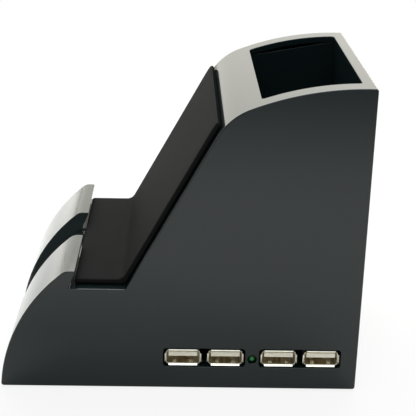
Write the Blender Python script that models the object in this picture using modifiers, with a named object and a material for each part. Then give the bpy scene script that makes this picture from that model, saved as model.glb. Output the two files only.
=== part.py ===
"""A desk pen holder with a sloping phone cradle in front and a charging hub with four sockets in its foot.

Metres, +Z up. The front lip faces -Y, the four sockets face +X, and the origin lies on the desk under
the middle of the holder. Heights called "above the foot" start at the housing's lower edge, and places
called "back" start at the housing's front foot.
"""
import math

import bmesh
import bpy
from mathutils import Matrix, Vector

# Overall sizes of the housing.
WIDTH = 0.098
DEPTH = 0.138
HEIGHT = 0.121
WALL = 0.0024
EDGE_ROUND = 0.0006
CORNER_ROUND = 0.001

# How far the rubber feet hold the housing off the desk.
STAND = 0.001

# The gap between pieces that touch, how far a cut runs past a surface, and how finely arcs are faceted.
FIT_GAP = 0.0003
OVERRUN = 0.004
CHORD_ERROR = 0.00003
WELD = 0.000001

# Side outline of the housing: a bowed front, a lip, a groove, a slope, a round shoulder and a bowed top.
# The lip rises above the groove's floor, and its back leans over the groove.
FRONT_CENTRE_DROP = 0.004
LIP_BACK = 0.0298
LIP_RISE = 0.0072
LIP_FLAT = 0.0025
LIP_ROUND = 0.0047
LIP_OVERHANG = 0.0031
GROOVE_HEIGHT = 0.0416
GROOVE_WIDTH = 0.0215
GROOVE_ROUND = 0.0008
SLOPE_ANGLE = math.radians(61.5)
SHOULDER_DROP = 0.019
SHOULDER_RADIUS = 0.024
TOP_APEX_INSET = 0.0025

# Cable channel through the middle of the lip and down the front, with a sloping back.
CHANNEL_WIDTH = 0.025
CHANNEL_DEPTH = 0.007
CHANNEL_SILL_DROP = 0.0006
CHANNEL_SILL_AHEAD = 0.0022
CHANNEL_SILL_BEHIND = 0.0015
CHANNEL_ROUND = 0.002

# Pen cup, open at the top. Its inside is also the opening in the housing's top.
CUP_SIDE_RIM = 0.0082
CUP_FRONT_RIM = 0.0163
CUP_REAR_GAP = 0.0004
CUP_WALL = 0.0018
CUP_CORNER = 0.0015
CUP_FLOOR_HEIGHT = 0.0245
CUP_FLOOR = 0.002
CUP_BOSS_RADIUS = 0.003
CUP_BOSS_LENGTH = 0.006
CUP_POST_INSET = 0.0178
CUP_POST_BOARD_GAP = 0.007

# Anti-slip mat in the cradle.
MAT_THICKNESS = 0.002
MAT_SIDE_INSET = 0.0042
MAT_LIP_GAP = 0.0022
MAT_CORNER = 0.004
MAT_EDGE = 0.0004
MAT_TOP_ARC = math.radians(9)

# Charging sockets in the right side face: two pairs with a power light between them.
SOCKET_HEIGHT = 0.0131
SOCKET_GROUP_AHEAD = 0.0408
SOCKET_SPACING = 0.0021
LIGHT_BAY = 0.0064
SHELL_WIDTH = 0.0131
SHELL_HEIGHT = 0.0057
SHELL_LENGTH = 0.014
SHELL_METAL = 0.0003
SHELL_FLARE = 0.0006
SHELL_FLARE_DEPTH = 0.0007
SHELL_FLARE_TAPER = 0.0006
SHELL_FLOOR_CUT = 0.0042
SHELL_LEG_LENGTH = 0.003
SHELL_LEG_WIDTH = 0.002
SHELL_LEG_SETBACK = 0.0085
SPRING_WIDTH = 0.0014
SPRING_RISE = 0.0007
SPRING_SPREAD = 0.0054
SPRING_SETBACK = 0.0022
SPRING_LENGTH = 0.0045
SLOT_CLEARANCE = 0.0005
SLOT_CORNER = 0.0006

# Insulators and contacts inside the sockets.
TONGUE_SIDE_GAP = 0.0007
TONGUE_ROOF_GAP = 0.0005
TONGUE_THICKNESS = 0.00184
TONGUE_SETBACK = 0.0012
TONGUE_BLOCK_SETBACK = 0.0096
CONTACT_WIDTH = 0.001
CONTACT_THICKNESS = 0.0003
CONTACT_SETBACK = 0.0024
CONTACT_OFFSETS = (-0.0035, -0.001, 0.001, 0.0035)
CONTACT_TAIL_SETBACK = 0.0121
CONTACT_TAIL_BELOW_BOARD = 0.001

# Power light between the two pairs of sockets.
LIGHT_HEIGHT = 0.0126
LIGHT_RADIUS = 0.0015
LIGHT_FLANGE_RADIUS = 0.0019
LIGHT_FLANGE_LENGTH = 0.001
LIGHT_RECESS = 0.0003
LIGHT_LEAD_RADIUS = 0.00025
LIGHT_LEAD_SPREAD = 0.00254
LIGHT_LEAD_RUN = 0.0018
LIGHT_LEAD_BEND = 0.0005

# Circuit board of the hub. Places on it are shares of its width and length from its inner front corner.
BOARD_THICKNESS = 0.0016
BOARD_LENGTH = 0.0768
BOARD_REAR_GAP = 0.0023
BOARD_SIDE_GAP = 0.0011
BOARD_WIDTH = 0.0355
BOARD_SCREW_SHARES = ((0.11, 0.045), (0.85, 0.045), (0.085, 0.84))
BOARD_SCREW_INSET = 0.0075
BOARD_HOLE_RADIUS = 0.0012
STANDOFF_RADIUS = 0.0026
CHIP_PLACE_SHARES = (0.34, 0.475)
CHIP_BODY = (0.0053, 0.0102, 0.00175)
CHIP_LEADS_A_SIDE = 14
CHIP_LEAD_PITCH = 0.00065
CHIP_LEAD_WIDTH = 0.0003
CHIP_LEAD_REACH = 0.0012
CHIP_LEAD_THICKNESS = 0.0004
CRYSTAL_PLACE_SHARES = (0.34, 0.684)
CRYSTAL_SIZE = (0.0048, 0.0114, 0.0036)
CAPACITOR_PLACE_SHARES = ((0.17, 0.215), (0.17, 0.32))
CAPACITOR_RADII = (0.00315, 0.0025)
CAPACITOR_HEIGHTS = (0.0077, 0.007)
CAPACITOR_EDGE = 0.0004

# Supply inlet on the board's rear edge, facing the rear.
INLET_PLACE_SHARE = 0.225
INLET_SIZE = (0.0077, 0.0093, 0.0039)
INLET_METAL = 0.0003
INLET_RECESS = 0.0008
INLET_SLOT_CLEARANCE = 0.0005
INLET_SLOT_CORNER = 0.001
INLET_TONGUE_WIDTH = 0.0052
INLET_TONGUE_THICKNESS = 0.0009
INLET_TONGUE_SETBACK = 0.001
INLET_BLOCK_LENGTH = 0.003
INLET_CONTACTS = 5
INLET_CONTACT_PITCH = 0.0008
INLET_CONTACT_WIDTH = 0.0004
INLET_CONTACT_THICKNESS = 0.0002

# Bottom cover with its screws, posts and feet.
COVER_THICKNESS = 0.0022
COVER_RECESS = 0.0002
COVER_GAP = 0.0004
COVER_CORNER = 0.0015
PAD_RADIUS = 0.0036
PAD_HEIGHT = 0.0016
POST_RADIUS = 0.0035
POST_SEAT = 0.004
BOSS_RADIUS = 0.003
BOSS_LENGTH = 0.012
BOSS_RIB = 0.0016
BOSS_INSET = 0.004
BOSS_BITE = 0.0008
FRONT_BOSS_BACK = 0.0145
REAR_BOSS_INSET = 0.0196
BOSS_CLEARANCE = 0.001
FOOT_RADIUS = 0.0045
FOOT_RECESS = 0.0008
FOOT_EDGE = 0.0003
FRONT_FOOT_INSET = (0.015, 0.026)
REAR_FOOT_INSET = (0.009, 0.010)

# Self-tapping screws: a large kind for the cover and the cup, a small kind for the board.
SCREW_SHAFT_RADIUS = 0.00115
SCREW_HEAD_RADIUS = 0.0023
SCREW_HEAD_HEIGHT = 0.0014
SCREW_LENGTH = 0.008
SCREW_POINT = 0.001
SCREW_SEAT_DEPTH = 0.0022
SMALL_SCREW_SHAFT_RADIUS = 0.0009
SMALL_SCREW_HEAD_RADIUS = 0.0019
SMALL_SCREW_HEAD_HEIGHT = 0.0013
SMALL_SCREW_LENGTH = 0.006
CROSS_WIDTH_SHARE = 0.26
CROSS_LENGTH_SHARE = 1.2
CROSS_DEPTH_SHARE = 0.6

# Facets round the small turned pieces.
SCREW_FACETS = 12
ROUND_FACETS = 24

# Places that follow from the sizes above.
FRONT_Y = -DEPTH / 2
REAR_Y = DEPTH / 2
SIDE_X = WIDTH / 2
INNER_X = SIDE_X - WALL
INNER_REAR_Y = REAR_Y - WALL
GROOVE_Z = STAND + GROOVE_HEIGHT
LIP_Z = GROOVE_Z + LIP_RISE
LIP_Y = FRONT_Y + LIP_BACK
LIP_FOOT_Y = LIP_Y - LIP_OVERHANG
SLOPE_FOOT_Y = LIP_FOOT_Y + GROOVE_WIDTH
SLOPE_TOP_Z = STAND + HEIGHT - SHOULDER_DROP
SLOPE_TOP_Y = SLOPE_FOOT_Y + (SLOPE_TOP_Z - GROOVE_Z) / math.tan(SLOPE_ANGLE)
CUP_X = SIDE_X - CUP_SIDE_RIM
CUP_FRONT_Y = SLOPE_TOP_Y + CUP_FRONT_RIM
CUP_REAR_Y = INNER_REAR_Y - CUP_REAR_GAP - CUP_WALL
CUP_FLOOR_Z = STAND + CUP_FLOOR_HEIGHT
CUP_MIDDLE_Y = (CUP_FRONT_Y + CUP_REAR_Y) / 2
CUP_BOSS_Z = CUP_FLOOR_Z - CUP_FLOOR - CUP_BOSS_LENGTH
SOCKET_Z = STAND + SOCKET_HEIGHT
SHELL_REACH = SHELL_WIDTH / 2 + SHELL_FLARE
GROUP_Y = REAR_Y - SOCKET_GROUP_AHEAD
SOCKET_OFFSETS = (LIGHT_BAY / 2 + SHELL_REACH, LIGHT_BAY / 2 + 3 * SHELL_REACH + SOCKET_SPACING)
SOCKET_YS = sorted(GROUP_Y + side * offset for side in (-1, 1) for offset in SOCKET_OFFSETS)
TONGUE_TOP = SHELL_HEIGHT / 2 - SHELL_METAL - TONGUE_ROOF_GAP
TONGUE_RISE = TONGUE_TOP - TONGUE_THICKNESS
LIGHT_Z = STAND + LIGHT_HEIGHT
BOARD_TOP_Z = SOCKET_Z - SHELL_HEIGHT / 2 - FIT_GAP
BOARD_LOW_Z = BOARD_TOP_Z - BOARD_THICKNESS
BOARD_MAX_X = INNER_X - BOARD_SIDE_GAP
BOARD_MIN_X = BOARD_MAX_X - BOARD_WIDTH
BOARD_REAR_Y = INNER_REAR_Y - BOARD_REAR_GAP
BOARD_FRONT_Y = BOARD_REAR_Y - BOARD_LENGTH
CUP_POST_XS = (CUP_POST_INSET - CUP_X, BOARD_MIN_X - CUP_POST_BOARD_GAP)
COVER_LOW_Z = STAND + COVER_RECESS
COVER_TOP_Z = COVER_LOW_Z + COVER_THICKNESS
PAD_TOP_Z = COVER_TOP_Z + PAD_HEIGHT
BOSS_LOW_Z = PAD_TOP_Z + FIT_GAP
SCREW_HOLE_RADIUS = SCREW_SHAFT_RADIUS + FIT_GAP
HEAD_HOLE_RADIUS = SCREW_HEAD_RADIUS + FIT_GAP
BOSS_PLACES = [(side * (INNER_X - BOSS_INSET), FRONT_Y + FRONT_BOSS_BACK) for side in (-1, 1)]
BOSS_PLACES += [(side * (INNER_X - REAR_BOSS_INSET), INNER_REAR_Y - BOSS_INSET) for side in (-1, 1)]
FRONT_FOOT = (SIDE_X - FRONT_FOOT_INSET[0], FRONT_Y + FRONT_FOOT_INSET[1])
REAR_FOOT = (SIDE_X - REAR_FOOT_INSET[0], REAR_Y - REAR_FOOT_INSET[1])
FOOT_PLACES = {
    "foot_front_left": (-FRONT_FOOT[0], FRONT_FOOT[1]),
    "foot_front_right": FRONT_FOOT,
    "foot_rear_left": (-REAR_FOOT[0], REAR_FOOT[1]),
    "foot_rear_right": REAR_FOOT,
}

# Which way an outline's two directions and its thickness point: columns are the outline's u and v, and
# the thickness.
SIDE_VIEW = Matrix(((0, 0, 1), (1, 0, 0), (0, 1, 0)))
PLAN_VIEW = Matrix(((1, 0, 0), (0, 1, 0), (0, 0, 1)))
FRONT_VIEW = Matrix(((1, 0, 0), (0, 0, 1), (0, 1, 0)))
VIEWS = {"side": SIDE_VIEW, "plan": PLAN_VIEW, "front": FRONT_VIEW}


def clear_scene():
    """Empties the scene."""
    for item in list(bpy.data.objects):
        bpy.data.objects.remove(item, do_unlink=True)


def new_collection(name):
    """A collection linked to the scene."""
    collection = bpy.data.collections.new(name)
    bpy.context.scene.collection.children.link(collection)
    return collection


def surface(name, colour, roughness, metallic=0.0):
    """A plain material of one colour."""
    material = bpy.data.materials.new(name)
    material.use_nodes = True
    shader = material.node_tree.nodes["Principled BSDF"]
    shader.inputs["Base Color"].default_value = (*colour, 1.0)
    shader.inputs["Roughness"].default_value = roughness
    shader.inputs["Metallic"].default_value = metallic
    return material


def arc(centre, radius, start, end):
    """Points on an arc, as many as keep its facets within CHORD_ERROR of the true curve."""
    step = 2 * math.acos(max(1 - CHORD_ERROR / radius, 0))
    count = max(math.ceil(abs(end - start) / step), 2)
    angles = [start + (end - start) * index / count for index in range(count + 1)]
    return [Vector((centre[0] + radius * math.cos(a), centre[1] + radius * math.sin(a))) for a in angles]


def heading(vector):
    """The angle at which a flat vector points."""
    return math.atan2(vector[1], vector[0])


def crossing(point_a, along_a, point_b, along_b):
    """The point where two straight lines cross."""
    across = along_a[0] * along_b[1] - along_a[1] * along_b[0]
    apart = point_b - point_a
    reach = (apart[0] * along_b[1] - apart[1] * along_b[0]) / across
    return point_a + along_a * reach


def fillet(before, corner, after, radius):
    """The arc that rounds a corner between two straight edges, or the corner itself for no radius."""
    if radius <= 0:
        return [corner]
    back = (before - corner).normalized()
    ahead = (after - corner).normalized()
    half = back.angle(ahead) / 2
    centre = corner + (back + ahead).normalized() * (radius / math.sin(half))
    reach = radius / math.tan(half)
    start = heading(corner + back * reach - centre)
    end = heading(corner + ahead * reach - centre)
    turn = math.remainder(end - start, math.tau)
    return arc(centre, radius, start, start + turn)


def rounded_rectangle(low, high, radius):
    """Outline of a rectangle with round corners."""
    corners = [Vector((low[0], low[1])), Vector((high[0], low[1])), Vector(high), Vector((low[0], high[1]))]
    points = []
    for index, corner in enumerate(corners):
        points += fillet(corners[index - 1], corner, corners[(index + 1) % len(corners)], radius)
    return points


# The side outline's straight slope: the way it runs, the way into the material, and the angle out of it.
SLOPE_ALONG = Vector((math.cos(SLOPE_ANGLE), math.sin(SLOPE_ANGLE)))
SLOPE_INTO = Vector((math.sin(SLOPE_ANGLE), -math.cos(SLOPE_ANGLE)))
SLOPE_START = Vector((SLOPE_FOOT_Y, GROOVE_Z))
SLOPE_OUT_ANGLE = SLOPE_ANGLE + math.pi / 2


def front_radius():
    """Radius of the bowed front, which starts at the foot and touches the lip's round nose from outside."""
    ahead = LIP_BACK - LIP_FLAT
    rise = LIP_Z - LIP_ROUND - STAND + FRONT_CENTRE_DROP
    rest = (FRONT_CENTRE_DROP ** 2 - rise ** 2 - ahead ** 2 + LIP_ROUND ** 2) / 2
    spread = ahead ** 2 - LIP_ROUND ** 2
    root = (LIP_ROUND * rest) ** 2 + spread * (rest ** 2 + (ahead * FRONT_CENTRE_DROP) ** 2)
    return (math.sqrt(root) - LIP_ROUND * rest) / spread


def top_radius():
    """Radius of the bowed top, which is level at its apex and touches the shoulder's arc from outside."""
    ahead = REAR_Y - TOP_APEX_INSET - SHOULDER_CENTRE[0]
    drop = STAND + HEIGHT - SHOULDER_CENTRE[1]
    return (ahead ** 2 + drop ** 2 - SHOULDER_RADIUS ** 2) / (2 * (drop - SHOULDER_RADIUS))


SHOULDER_CENTRE = Vector((SLOPE_TOP_Y, SLOPE_TOP_Z)) + SLOPE_INTO * SHOULDER_RADIUS
TOP_RADIUS = top_radius()
TOP_CENTRE = Vector((REAR_Y - TOP_APEX_INSET, STAND + HEIGHT - TOP_RADIUS))
FRONT_RADIUS = front_radius()
FRONT_CENTRE = Vector((FRONT_Y + math.sqrt(FRONT_RADIUS ** 2 - FRONT_CENTRE_DROP ** 2),
                       STAND - FRONT_CENTRE_DROP))


def front_arc_y(height, inset=0.0):
    """Where the bowed front is at a height."""
    rise = height - FRONT_CENTRE[1]
    return FRONT_CENTRE[0] - math.sqrt((FRONT_RADIUS - inset) ** 2 - rise ** 2)


def top_arc_z(y, inset=0.0):
    """How high the bowed top is at a place."""
    return TOP_CENTRE[1] + math.sqrt((TOP_RADIUS - inset) ** 2 - (y - TOP_CENTRE[0]) ** 2)


def front_angle(height, inset=0.0):
    """The angle, seen from the front's centre, of a height on the bowed front."""
    return math.pi - math.asin((height - FRONT_CENTRE[1]) / (FRONT_RADIUS - inset))


def lip_points():
    """The toe, the bowed front, the lip's round nose and its back, down to the groove's floor."""
    toe_z = STAND + CORNER_ROUND
    toe = Vector((front_arc_y(toe_z, CORNER_ROUND), toe_z))
    start = heading(toe - FRONT_CENTRE) % math.tau
    nose_z = LIP_Z - LIP_ROUND
    nose = Vector((front_arc_y(nose_z, LIP_ROUND), nose_z))
    meet = heading(nose - FRONT_CENTRE)
    points = arc(toe, CORNER_ROUND, -math.pi / 2, start - math.tau)
    points += arc(FRONT_CENTRE, FRONT_RADIUS, start, meet)[1:]
    points += arc(nose, LIP_ROUND, meet, math.pi / 2)[1:]
    edge = Vector((LIP_Y, LIP_Z))
    foot = Vector((LIP_FOOT_Y, GROOVE_Z))
    return points + fillet(points[-1], edge, foot, EDGE_ROUND) + [foot]


def slope_foot(inset=0.0):
    """The round inner corner where the groove's floor meets the slope, moved into the material by inset."""
    floor = SLOPE_START - Vector((0, inset))
    bend = crossing(SLOPE_START + SLOPE_INTO * inset, SLOPE_ALONG, floor, Vector((1, 0)))
    return fillet(bend - Vector((GROOVE_WIDTH, 0)), bend, bend + SLOPE_ALONG, GROOVE_ROUND + inset)


def top_points(inset=0.0):
    """The shoulder and the bowed top, as far as the rear corner."""
    meet = heading(SHOULDER_CENTRE - TOP_CENTRE)
    corner = max(CORNER_ROUND, inset)
    corner_y = REAR_Y - corner
    last = heading(Vector((corner_y, top_arc_z(corner_y, corner))) - TOP_CENTRE)
    points = arc(SHOULDER_CENTRE, SHOULDER_RADIUS - inset, SLOPE_OUT_ANGLE, meet)
    return points + arc(TOP_CENTRE, TOP_RADIUS - inset, meet, last)[1:]


def side_outline():
    """The housing's side outline."""
    corner_y = REAR_Y - CORNER_ROUND
    top = Vector((corner_y, top_arc_z(corner_y, CORNER_ROUND)))
    heel = Vector((corner_y, STAND + CORNER_ROUND))
    points = lip_points() + slope_foot() + top_points()
    points += arc(top, CORNER_ROUND, heading(top - TOP_CENTRE), 0)[1:]
    return points + arc(heel, CORNER_ROUND, 0, -math.pi / 2)


def hollow_outline():
    """The inside of the housing seen from the side: its walls are even, and the lip stays solid."""
    low_z = STAND - OVERRUN
    first = front_angle(low_z, WALL)
    last = front_angle(GROOVE_Z - WALL, WALL)
    points = arc(FRONT_CENTRE, FRONT_RADIUS - WALL, first, last)
    return points + slope_foot(WALL) + top_points(WALL) + [Vector((INNER_REAR_Y, low_z))]


def ramp_y(height, grow=0.0):
    """Where the channel's sloping back is at a height, grown into the material."""
    low = Vector((FRONT_Y + CHANNEL_DEPTH, STAND))
    high = Vector((LIP_FOOT_Y - CHANNEL_SILL_AHEAD, GROOVE_Z - CHANNEL_SILL_DROP))
    along = (high - low).normalized()
    into = Vector((along[1], -along[0])) * grow
    return crossing(low + into, along, Vector((0, height)), Vector((1, 0)))[0]


def channel_outline(grow=0.0):
    """The cable channel seen from the side, grown by a wall where grow is set."""
    low_z = STAND - OVERRUN
    sill_z = GROOVE_Z - CHANNEL_SILL_DROP - grow
    high_z = LIP_Z + OVERRUN
    front_y = FRONT_Y - OVERRUN
    ramp_low = Vector((ramp_y(low_z, grow), low_z))
    ramp_high = Vector((ramp_y(sill_z, grow), sill_z))
    sill_back = Vector((LIP_FOOT_Y + CHANNEL_SILL_BEHIND + grow, sill_z))
    points = [Vector((front_y, low_z)), ramp_low]
    points += fillet(ramp_low, ramp_high, sill_back, CHANNEL_ROUND)
    points += [sill_back, Vector((LIP_Y + OVERRUN, high_z)), Vector((front_y, high_z))]
    return points


def smooth(mesh):
    """Smooth shading that keeps the sharp edges."""
    mesh.shade_smooth()
    mesh.set_sharp_from_angle(angle=math.radians(30))


def add_object(name, mesh, material, collection):
    """An object of a mesh in a collection."""
    item = bpy.data.objects.new(name, mesh)
    collection.objects.link(item)
    if material is not None:
        mesh.materials.clear()
        mesh.materials.append(material)
    return item


def add_cutter(name, mesh):
    """A hidden object that cuts another or is joined to it."""
    item = add_object(name, mesh, None, CUTTERS)
    item.display_type = "WIRE"
    item.hide_render = True
    return item


def evaluated_mesh(item):
    """A copy of an object's mesh with its modifiers applied, in world space."""
    graph = bpy.context.evaluated_depsgraph_get()
    mesh = bpy.data.meshes.new_from_object(item.evaluated_get(graph))
    mesh.transform(item.matrix_world)
    return mesh


def curve_mesh(name, curve, matrix):
    """The closed mesh of a curve, with its caps welded, placed by a matrix."""
    item = bpy.data.objects.new(name, curve)
    item.matrix_world = matrix
    bpy.context.scene.collection.objects.link(item)
    bpy.context.view_layer.update()
    mesh = evaluated_mesh(item)
    bpy.data.objects.remove(item, do_unlink=True)
    work = bmesh.new()
    work.from_mesh(mesh)
    bmesh.ops.remove_doubles(work, verts=work.verts, dist=WELD)
    bmesh.ops.recalc_face_normals(work, faces=work.faces)
    work.to_mesh(mesh)
    work.free()
    smooth(mesh)
    return mesh


def prism(name, view, outline, low, high, edge=0.0):
    """A flat outline made thick from low to high, with its two rims rounded by edge."""
    curve = bpy.data.curves.new(name, "CURVE")
    curve.dimensions = "2D"
    curve.fill_mode = "BOTH"
    curve.extrude = (high - low) / 2 - edge
    curve.bevel_depth = edge
    curve.bevel_resolution = 1
    curve.offset = -edge
    spline = curve.splines.new("POLY")
    spline.points.add(len(outline) - 1)
    for point, place in zip(spline.points, outline):
        point.co = (place[0], place[1], 0, 1)
    spline.use_cyclic_u = True
    matrix = VIEWS[view].to_4x4()
    matrix.translation = VIEWS[view].col[2] * ((low + high) / 2)
    return curve_mesh(name, curve, matrix)


def wire(name, path, radius):
    """The closed mesh of a thin round wire along a path of points."""
    curve = bpy.data.curves.new(name, "CURVE")
    curve.dimensions = "3D"
    curve.bevel_depth = radius
    curve.bevel_resolution = 2
    curve.use_fill_caps = True
    spline = curve.splines.new("POLY")
    spline.points.add(len(path) - 1)
    for point, place in zip(spline.points, path):
        point.co = (*place, 1)
    return curve_mesh(name, curve, Matrix())


def finish_bmesh(work, name):
    """A mesh from a bmesh, shaded smooth."""
    mesh = bpy.data.meshes.new(name)
    work.to_mesh(mesh)
    work.free()
    smooth(mesh)
    return mesh


def boxes(name, spans):
    """Separate boxes in one mesh, each given by its lowest and highest corner."""
    work = bmesh.new()
    for low, high in spans:
        low = Vector(low)
        high = Vector(high)
        size = high - low
        place = Matrix.Translation((low + high) / 2) @ Matrix.Diagonal((*size, 1))
        bmesh.ops.create_cube(work, size=1, matrix=place)
    return finish_bmesh(work, name)


def cylinders(name, spans, facets=ROUND_FACETS):
    """Separate upright cylinders in one mesh, each given by x, y, radius, low and high."""
    work = bmesh.new()
    for x, y, radius, low, high in spans:
        place = Matrix.Translation((x, y, (low + high) / 2))
        bmesh.ops.create_cone(work, cap_ends=True, segments=facets, radius1=radius, radius2=radius,
                              depth=high - low, matrix=place)
    return finish_bmesh(work, name)


def turned(name, profile, facets):
    """A solid turned round Z from radius and height pairs that run down its outer side."""
    work = bmesh.new()
    corners = [work.verts.new((radius, 0, height)) for radius, height in profile]
    for first, second in zip(corners, corners[1:]):
        work.edges.new((first, second))
    item = bpy.data.objects.new(name, finish_bmesh(work, name))
    bpy.context.scene.collection.objects.link(item)
    screw = item.modifiers.new("turn", "SCREW")
    screw.steps = facets
    screw.render_steps = facets
    screw.use_merge_vertices = True
    screw.merge_threshold = WELD
    bpy.context.view_layer.update()
    mesh = evaluated_mesh(item)
    bpy.data.objects.remove(item, do_unlink=True)
    smooth(mesh)
    return mesh


def boolean(item, operation, mesh):
    """Cuts a mesh out of an object, or joins it to the object, with a live modifier."""
    tool = add_cutter(f"{item.name}_{operation.lower()}_{len(item.modifiers)}", mesh)
    modifier = item.modifiers.new(operation.lower(), "BOOLEAN")
    modifier.operation = operation
    modifier.solver = "EXACT"
    modifier.object = tool
    return tool


def cut(item, mesh):
    """Cuts a mesh out of an object."""
    return boolean(item, "DIFFERENCE", mesh)


def join(item, mesh):
    """Joins a mesh to an object as one solid."""
    return boolean(item, "UNION", mesh)


def slot_outline(low_y, high_y, middle_z, height, corner):
    """A slot with round corners, seen from the side."""
    return rounded_rectangle((low_y, middle_z - height / 2), (high_y, middle_z + height / 2), corner)


def socket_slots():
    """The two slots in the side face, one for each pair of sockets."""
    half = SHELL_REACH + SLOT_CLEARANCE
    height = SHELL_HEIGHT + 2 * (SHELL_FLARE + SLOT_CLEARANCE)
    slots = []
    for first, second in (SOCKET_YS[:2], SOCKET_YS[2:]):
        outline = slot_outline(first - half, second + half, SOCKET_Z, height, SLOT_CORNER)
        slots.append(prism("socket_slot", "side", outline, INNER_X - OVERRUN, SIDE_X + OVERRUN))
    return slots


def housing_bosses():
    """Screw bosses inside the housing, each tied to the nearest wall by a rib."""
    top = BOSS_LOW_Z + BOSS_LENGTH
    posts = [(x, y, BOSS_RADIUS, BOSS_LOW_Z, top) for x, y in BOSS_PLACES]
    ribs = []
    for x, y in BOSS_PLACES[:2]:
        wall_x = math.copysign(INNER_X + BOSS_BITE, x)
        ribs.append(((min(x, wall_x), y - BOSS_RIB / 2, BOSS_LOW_Z), (max(x, wall_x), y + BOSS_RIB / 2, top)))
    for x, y in BOSS_PLACES[2:]:
        wall_y = INNER_REAR_Y + BOSS_BITE
        ribs.append(((x - BOSS_RIB / 2, y, BOSS_LOW_Z), (x + BOSS_RIB / 2, wall_y, top)))
    return cylinders("boss_posts", posts), boxes("boss_ribs", ribs)


def make_housing():
    """The gloss housing: one moulding, open at the bottom, with the cradle, the channel and the openings."""
    outer = prism("housing", "side", side_outline(), -SIDE_X, SIDE_X, EDGE_ROUND)
    housing = add_object("housing", outer, GLOSS, PARTS)
    half = CHANNEL_WIDTH / 2
    cut(housing, prism("channel", "side", channel_outline(), -half, half))
    hollow = cut(housing, prism("hollow", "side", hollow_outline(), -INNER_X, INNER_X))
    cut(hollow, prism("channel_walls", "side", channel_outline(WALL), -half - WALL, half + WALL))
    posts, ribs = housing_bosses()
    join(housing, posts)
    join(housing, ribs)
    holes = [(x, y, SCREW_HOLE_RADIUS, BOSS_LOW_Z - OVERRUN, BOSS_LOW_Z + SCREW_LENGTH)
             for x, y in BOSS_PLACES]
    cut(housing, cylinders("boss_holes", holes, SCREW_FACETS))
    mouth = rounded_rectangle((-CUP_X, CUP_FRONT_Y), (CUP_X, CUP_REAR_Y), CUP_CORNER)
    cut(housing, prism("cup_mouth", "plan", mouth, LIP_Z, STAND + HEIGHT + OVERRUN))
    for slot in socket_slots():
        cut(housing, slot)
    turn = Matrix.Translation((SIDE_X, GROUP_Y, LIGHT_Z)) @ Matrix.Rotation(math.pi / 2, 4, "Y")
    light_hole = cylinders("light_hole", [(0, 0, LIGHT_RADIUS + FIT_GAP, -WALL - OVERRUN, OVERRUN)])
    light_hole.transform(turn)
    cut(housing, light_hole)
    cut(housing, inlet_slot())


def inlet_box():
    """The lowest and highest corners of the supply inlet's shell."""
    middle = BOARD_MIN_X + BOARD_WIDTH * INLET_PLACE_SHARE
    mouth = REAR_Y - INLET_RECESS
    low = Vector((middle - INLET_SIZE[0] / 2, mouth - INLET_SIZE[1], BOARD_TOP_Z + FIT_GAP))
    return low, low + Vector(INLET_SIZE)


def inlet_slot():
    """The opening in the rear wall for the supply inlet."""
    low, high = inlet_box()
    gap = INLET_SLOT_CLEARANCE
    outline = rounded_rectangle((low[0] - gap, low[2] - gap), (high[0] + gap, high[2] + gap),
                                INLET_SLOT_CORNER)
    return prism("inlet_slot", "front", outline, INNER_REAR_Y - OVERRUN, REAR_Y + OVERRUN)


def make_mat():
    """The rubber mat: it lies on the groove's floor, bends up the slope and ends on the shoulder."""

    def face(lift, radius):
        start = Vector((LIP_FOOT_Y + MAT_LIP_GAP, GROOVE_Z + lift))
        bend = crossing(SLOPE_START - SLOPE_INTO * lift, SLOPE_ALONG, start, Vector((1, 0)))
        end = SLOPE_OUT_ANGLE - MAT_TOP_ARC
        points = [start] + fillet(start, bend, bend + SLOPE_ALONG, radius)
        return points + arc(SHOULDER_CENTRE, SHOULDER_RADIUS + lift, SLOPE_OUT_ANGLE, end)

    under = face(FIT_GAP, GROOVE_ROUND)
    over = face(FIT_GAP + MAT_THICKNESS, MAT_CORNER)
    reach = SIDE_X - MAT_SIDE_INSET
    mesh = prism("cradle_mat", "side", under + over[::-1], -reach, reach, MAT_EDGE)
    add_object("cradle_mat", mesh, RUBBER, PARTS)


def make_cup():
    """The pen cup: a deep box under the housing's opening, with two screw bosses under its floor."""
    front_y = CUP_FRONT_Y - CUP_WALL
    rear_y = CUP_REAR_Y + CUP_WALL
    low_z = CUP_FLOOR_Z - CUP_FLOOR
    under = WALL + FIT_GAP
    radius = TOP_RADIUS - under
    last = math.acos((front_y - TOP_CENTRE[0]) / radius)
    first = math.acos((rear_y - TOP_CENTRE[0]) / radius)
    outline = [Vector((front_y, low_z)), Vector((rear_y, low_z))] + arc(TOP_CENTRE, radius, first, last)
    cup = add_object("pen_cup", prism("pen_cup", "side", outline, -CUP_X - CUP_WALL, CUP_X + CUP_WALL),
                     GLOSS, PARTS)
    inside = rounded_rectangle((-CUP_X, CUP_FRONT_Y), (CUP_X, CUP_REAR_Y), CUP_CORNER)
    cut(cup, prism("cup_inside", "plan", inside, CUP_FLOOR_Z, STAND + HEIGHT + OVERRUN))
    bosses = [(x, CUP_MIDDLE_Y, CUP_BOSS_RADIUS, CUP_BOSS_Z, CUP_FLOOR_Z - CUP_FLOOR / 2)
              for x in CUP_POST_XS]
    join(cup, cylinders("cup_bosses", bosses))
    holes = [(x, CUP_MIDDLE_Y, SCREW_HOLE_RADIUS, CUP_BOSS_Z - OVERRUN, CUP_FLOOR_Z - CUP_FLOOR)
             for x in CUP_POST_XS]
    cut(cup, cylinders("cup_boss_holes", holes, SCREW_FACETS))


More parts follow.
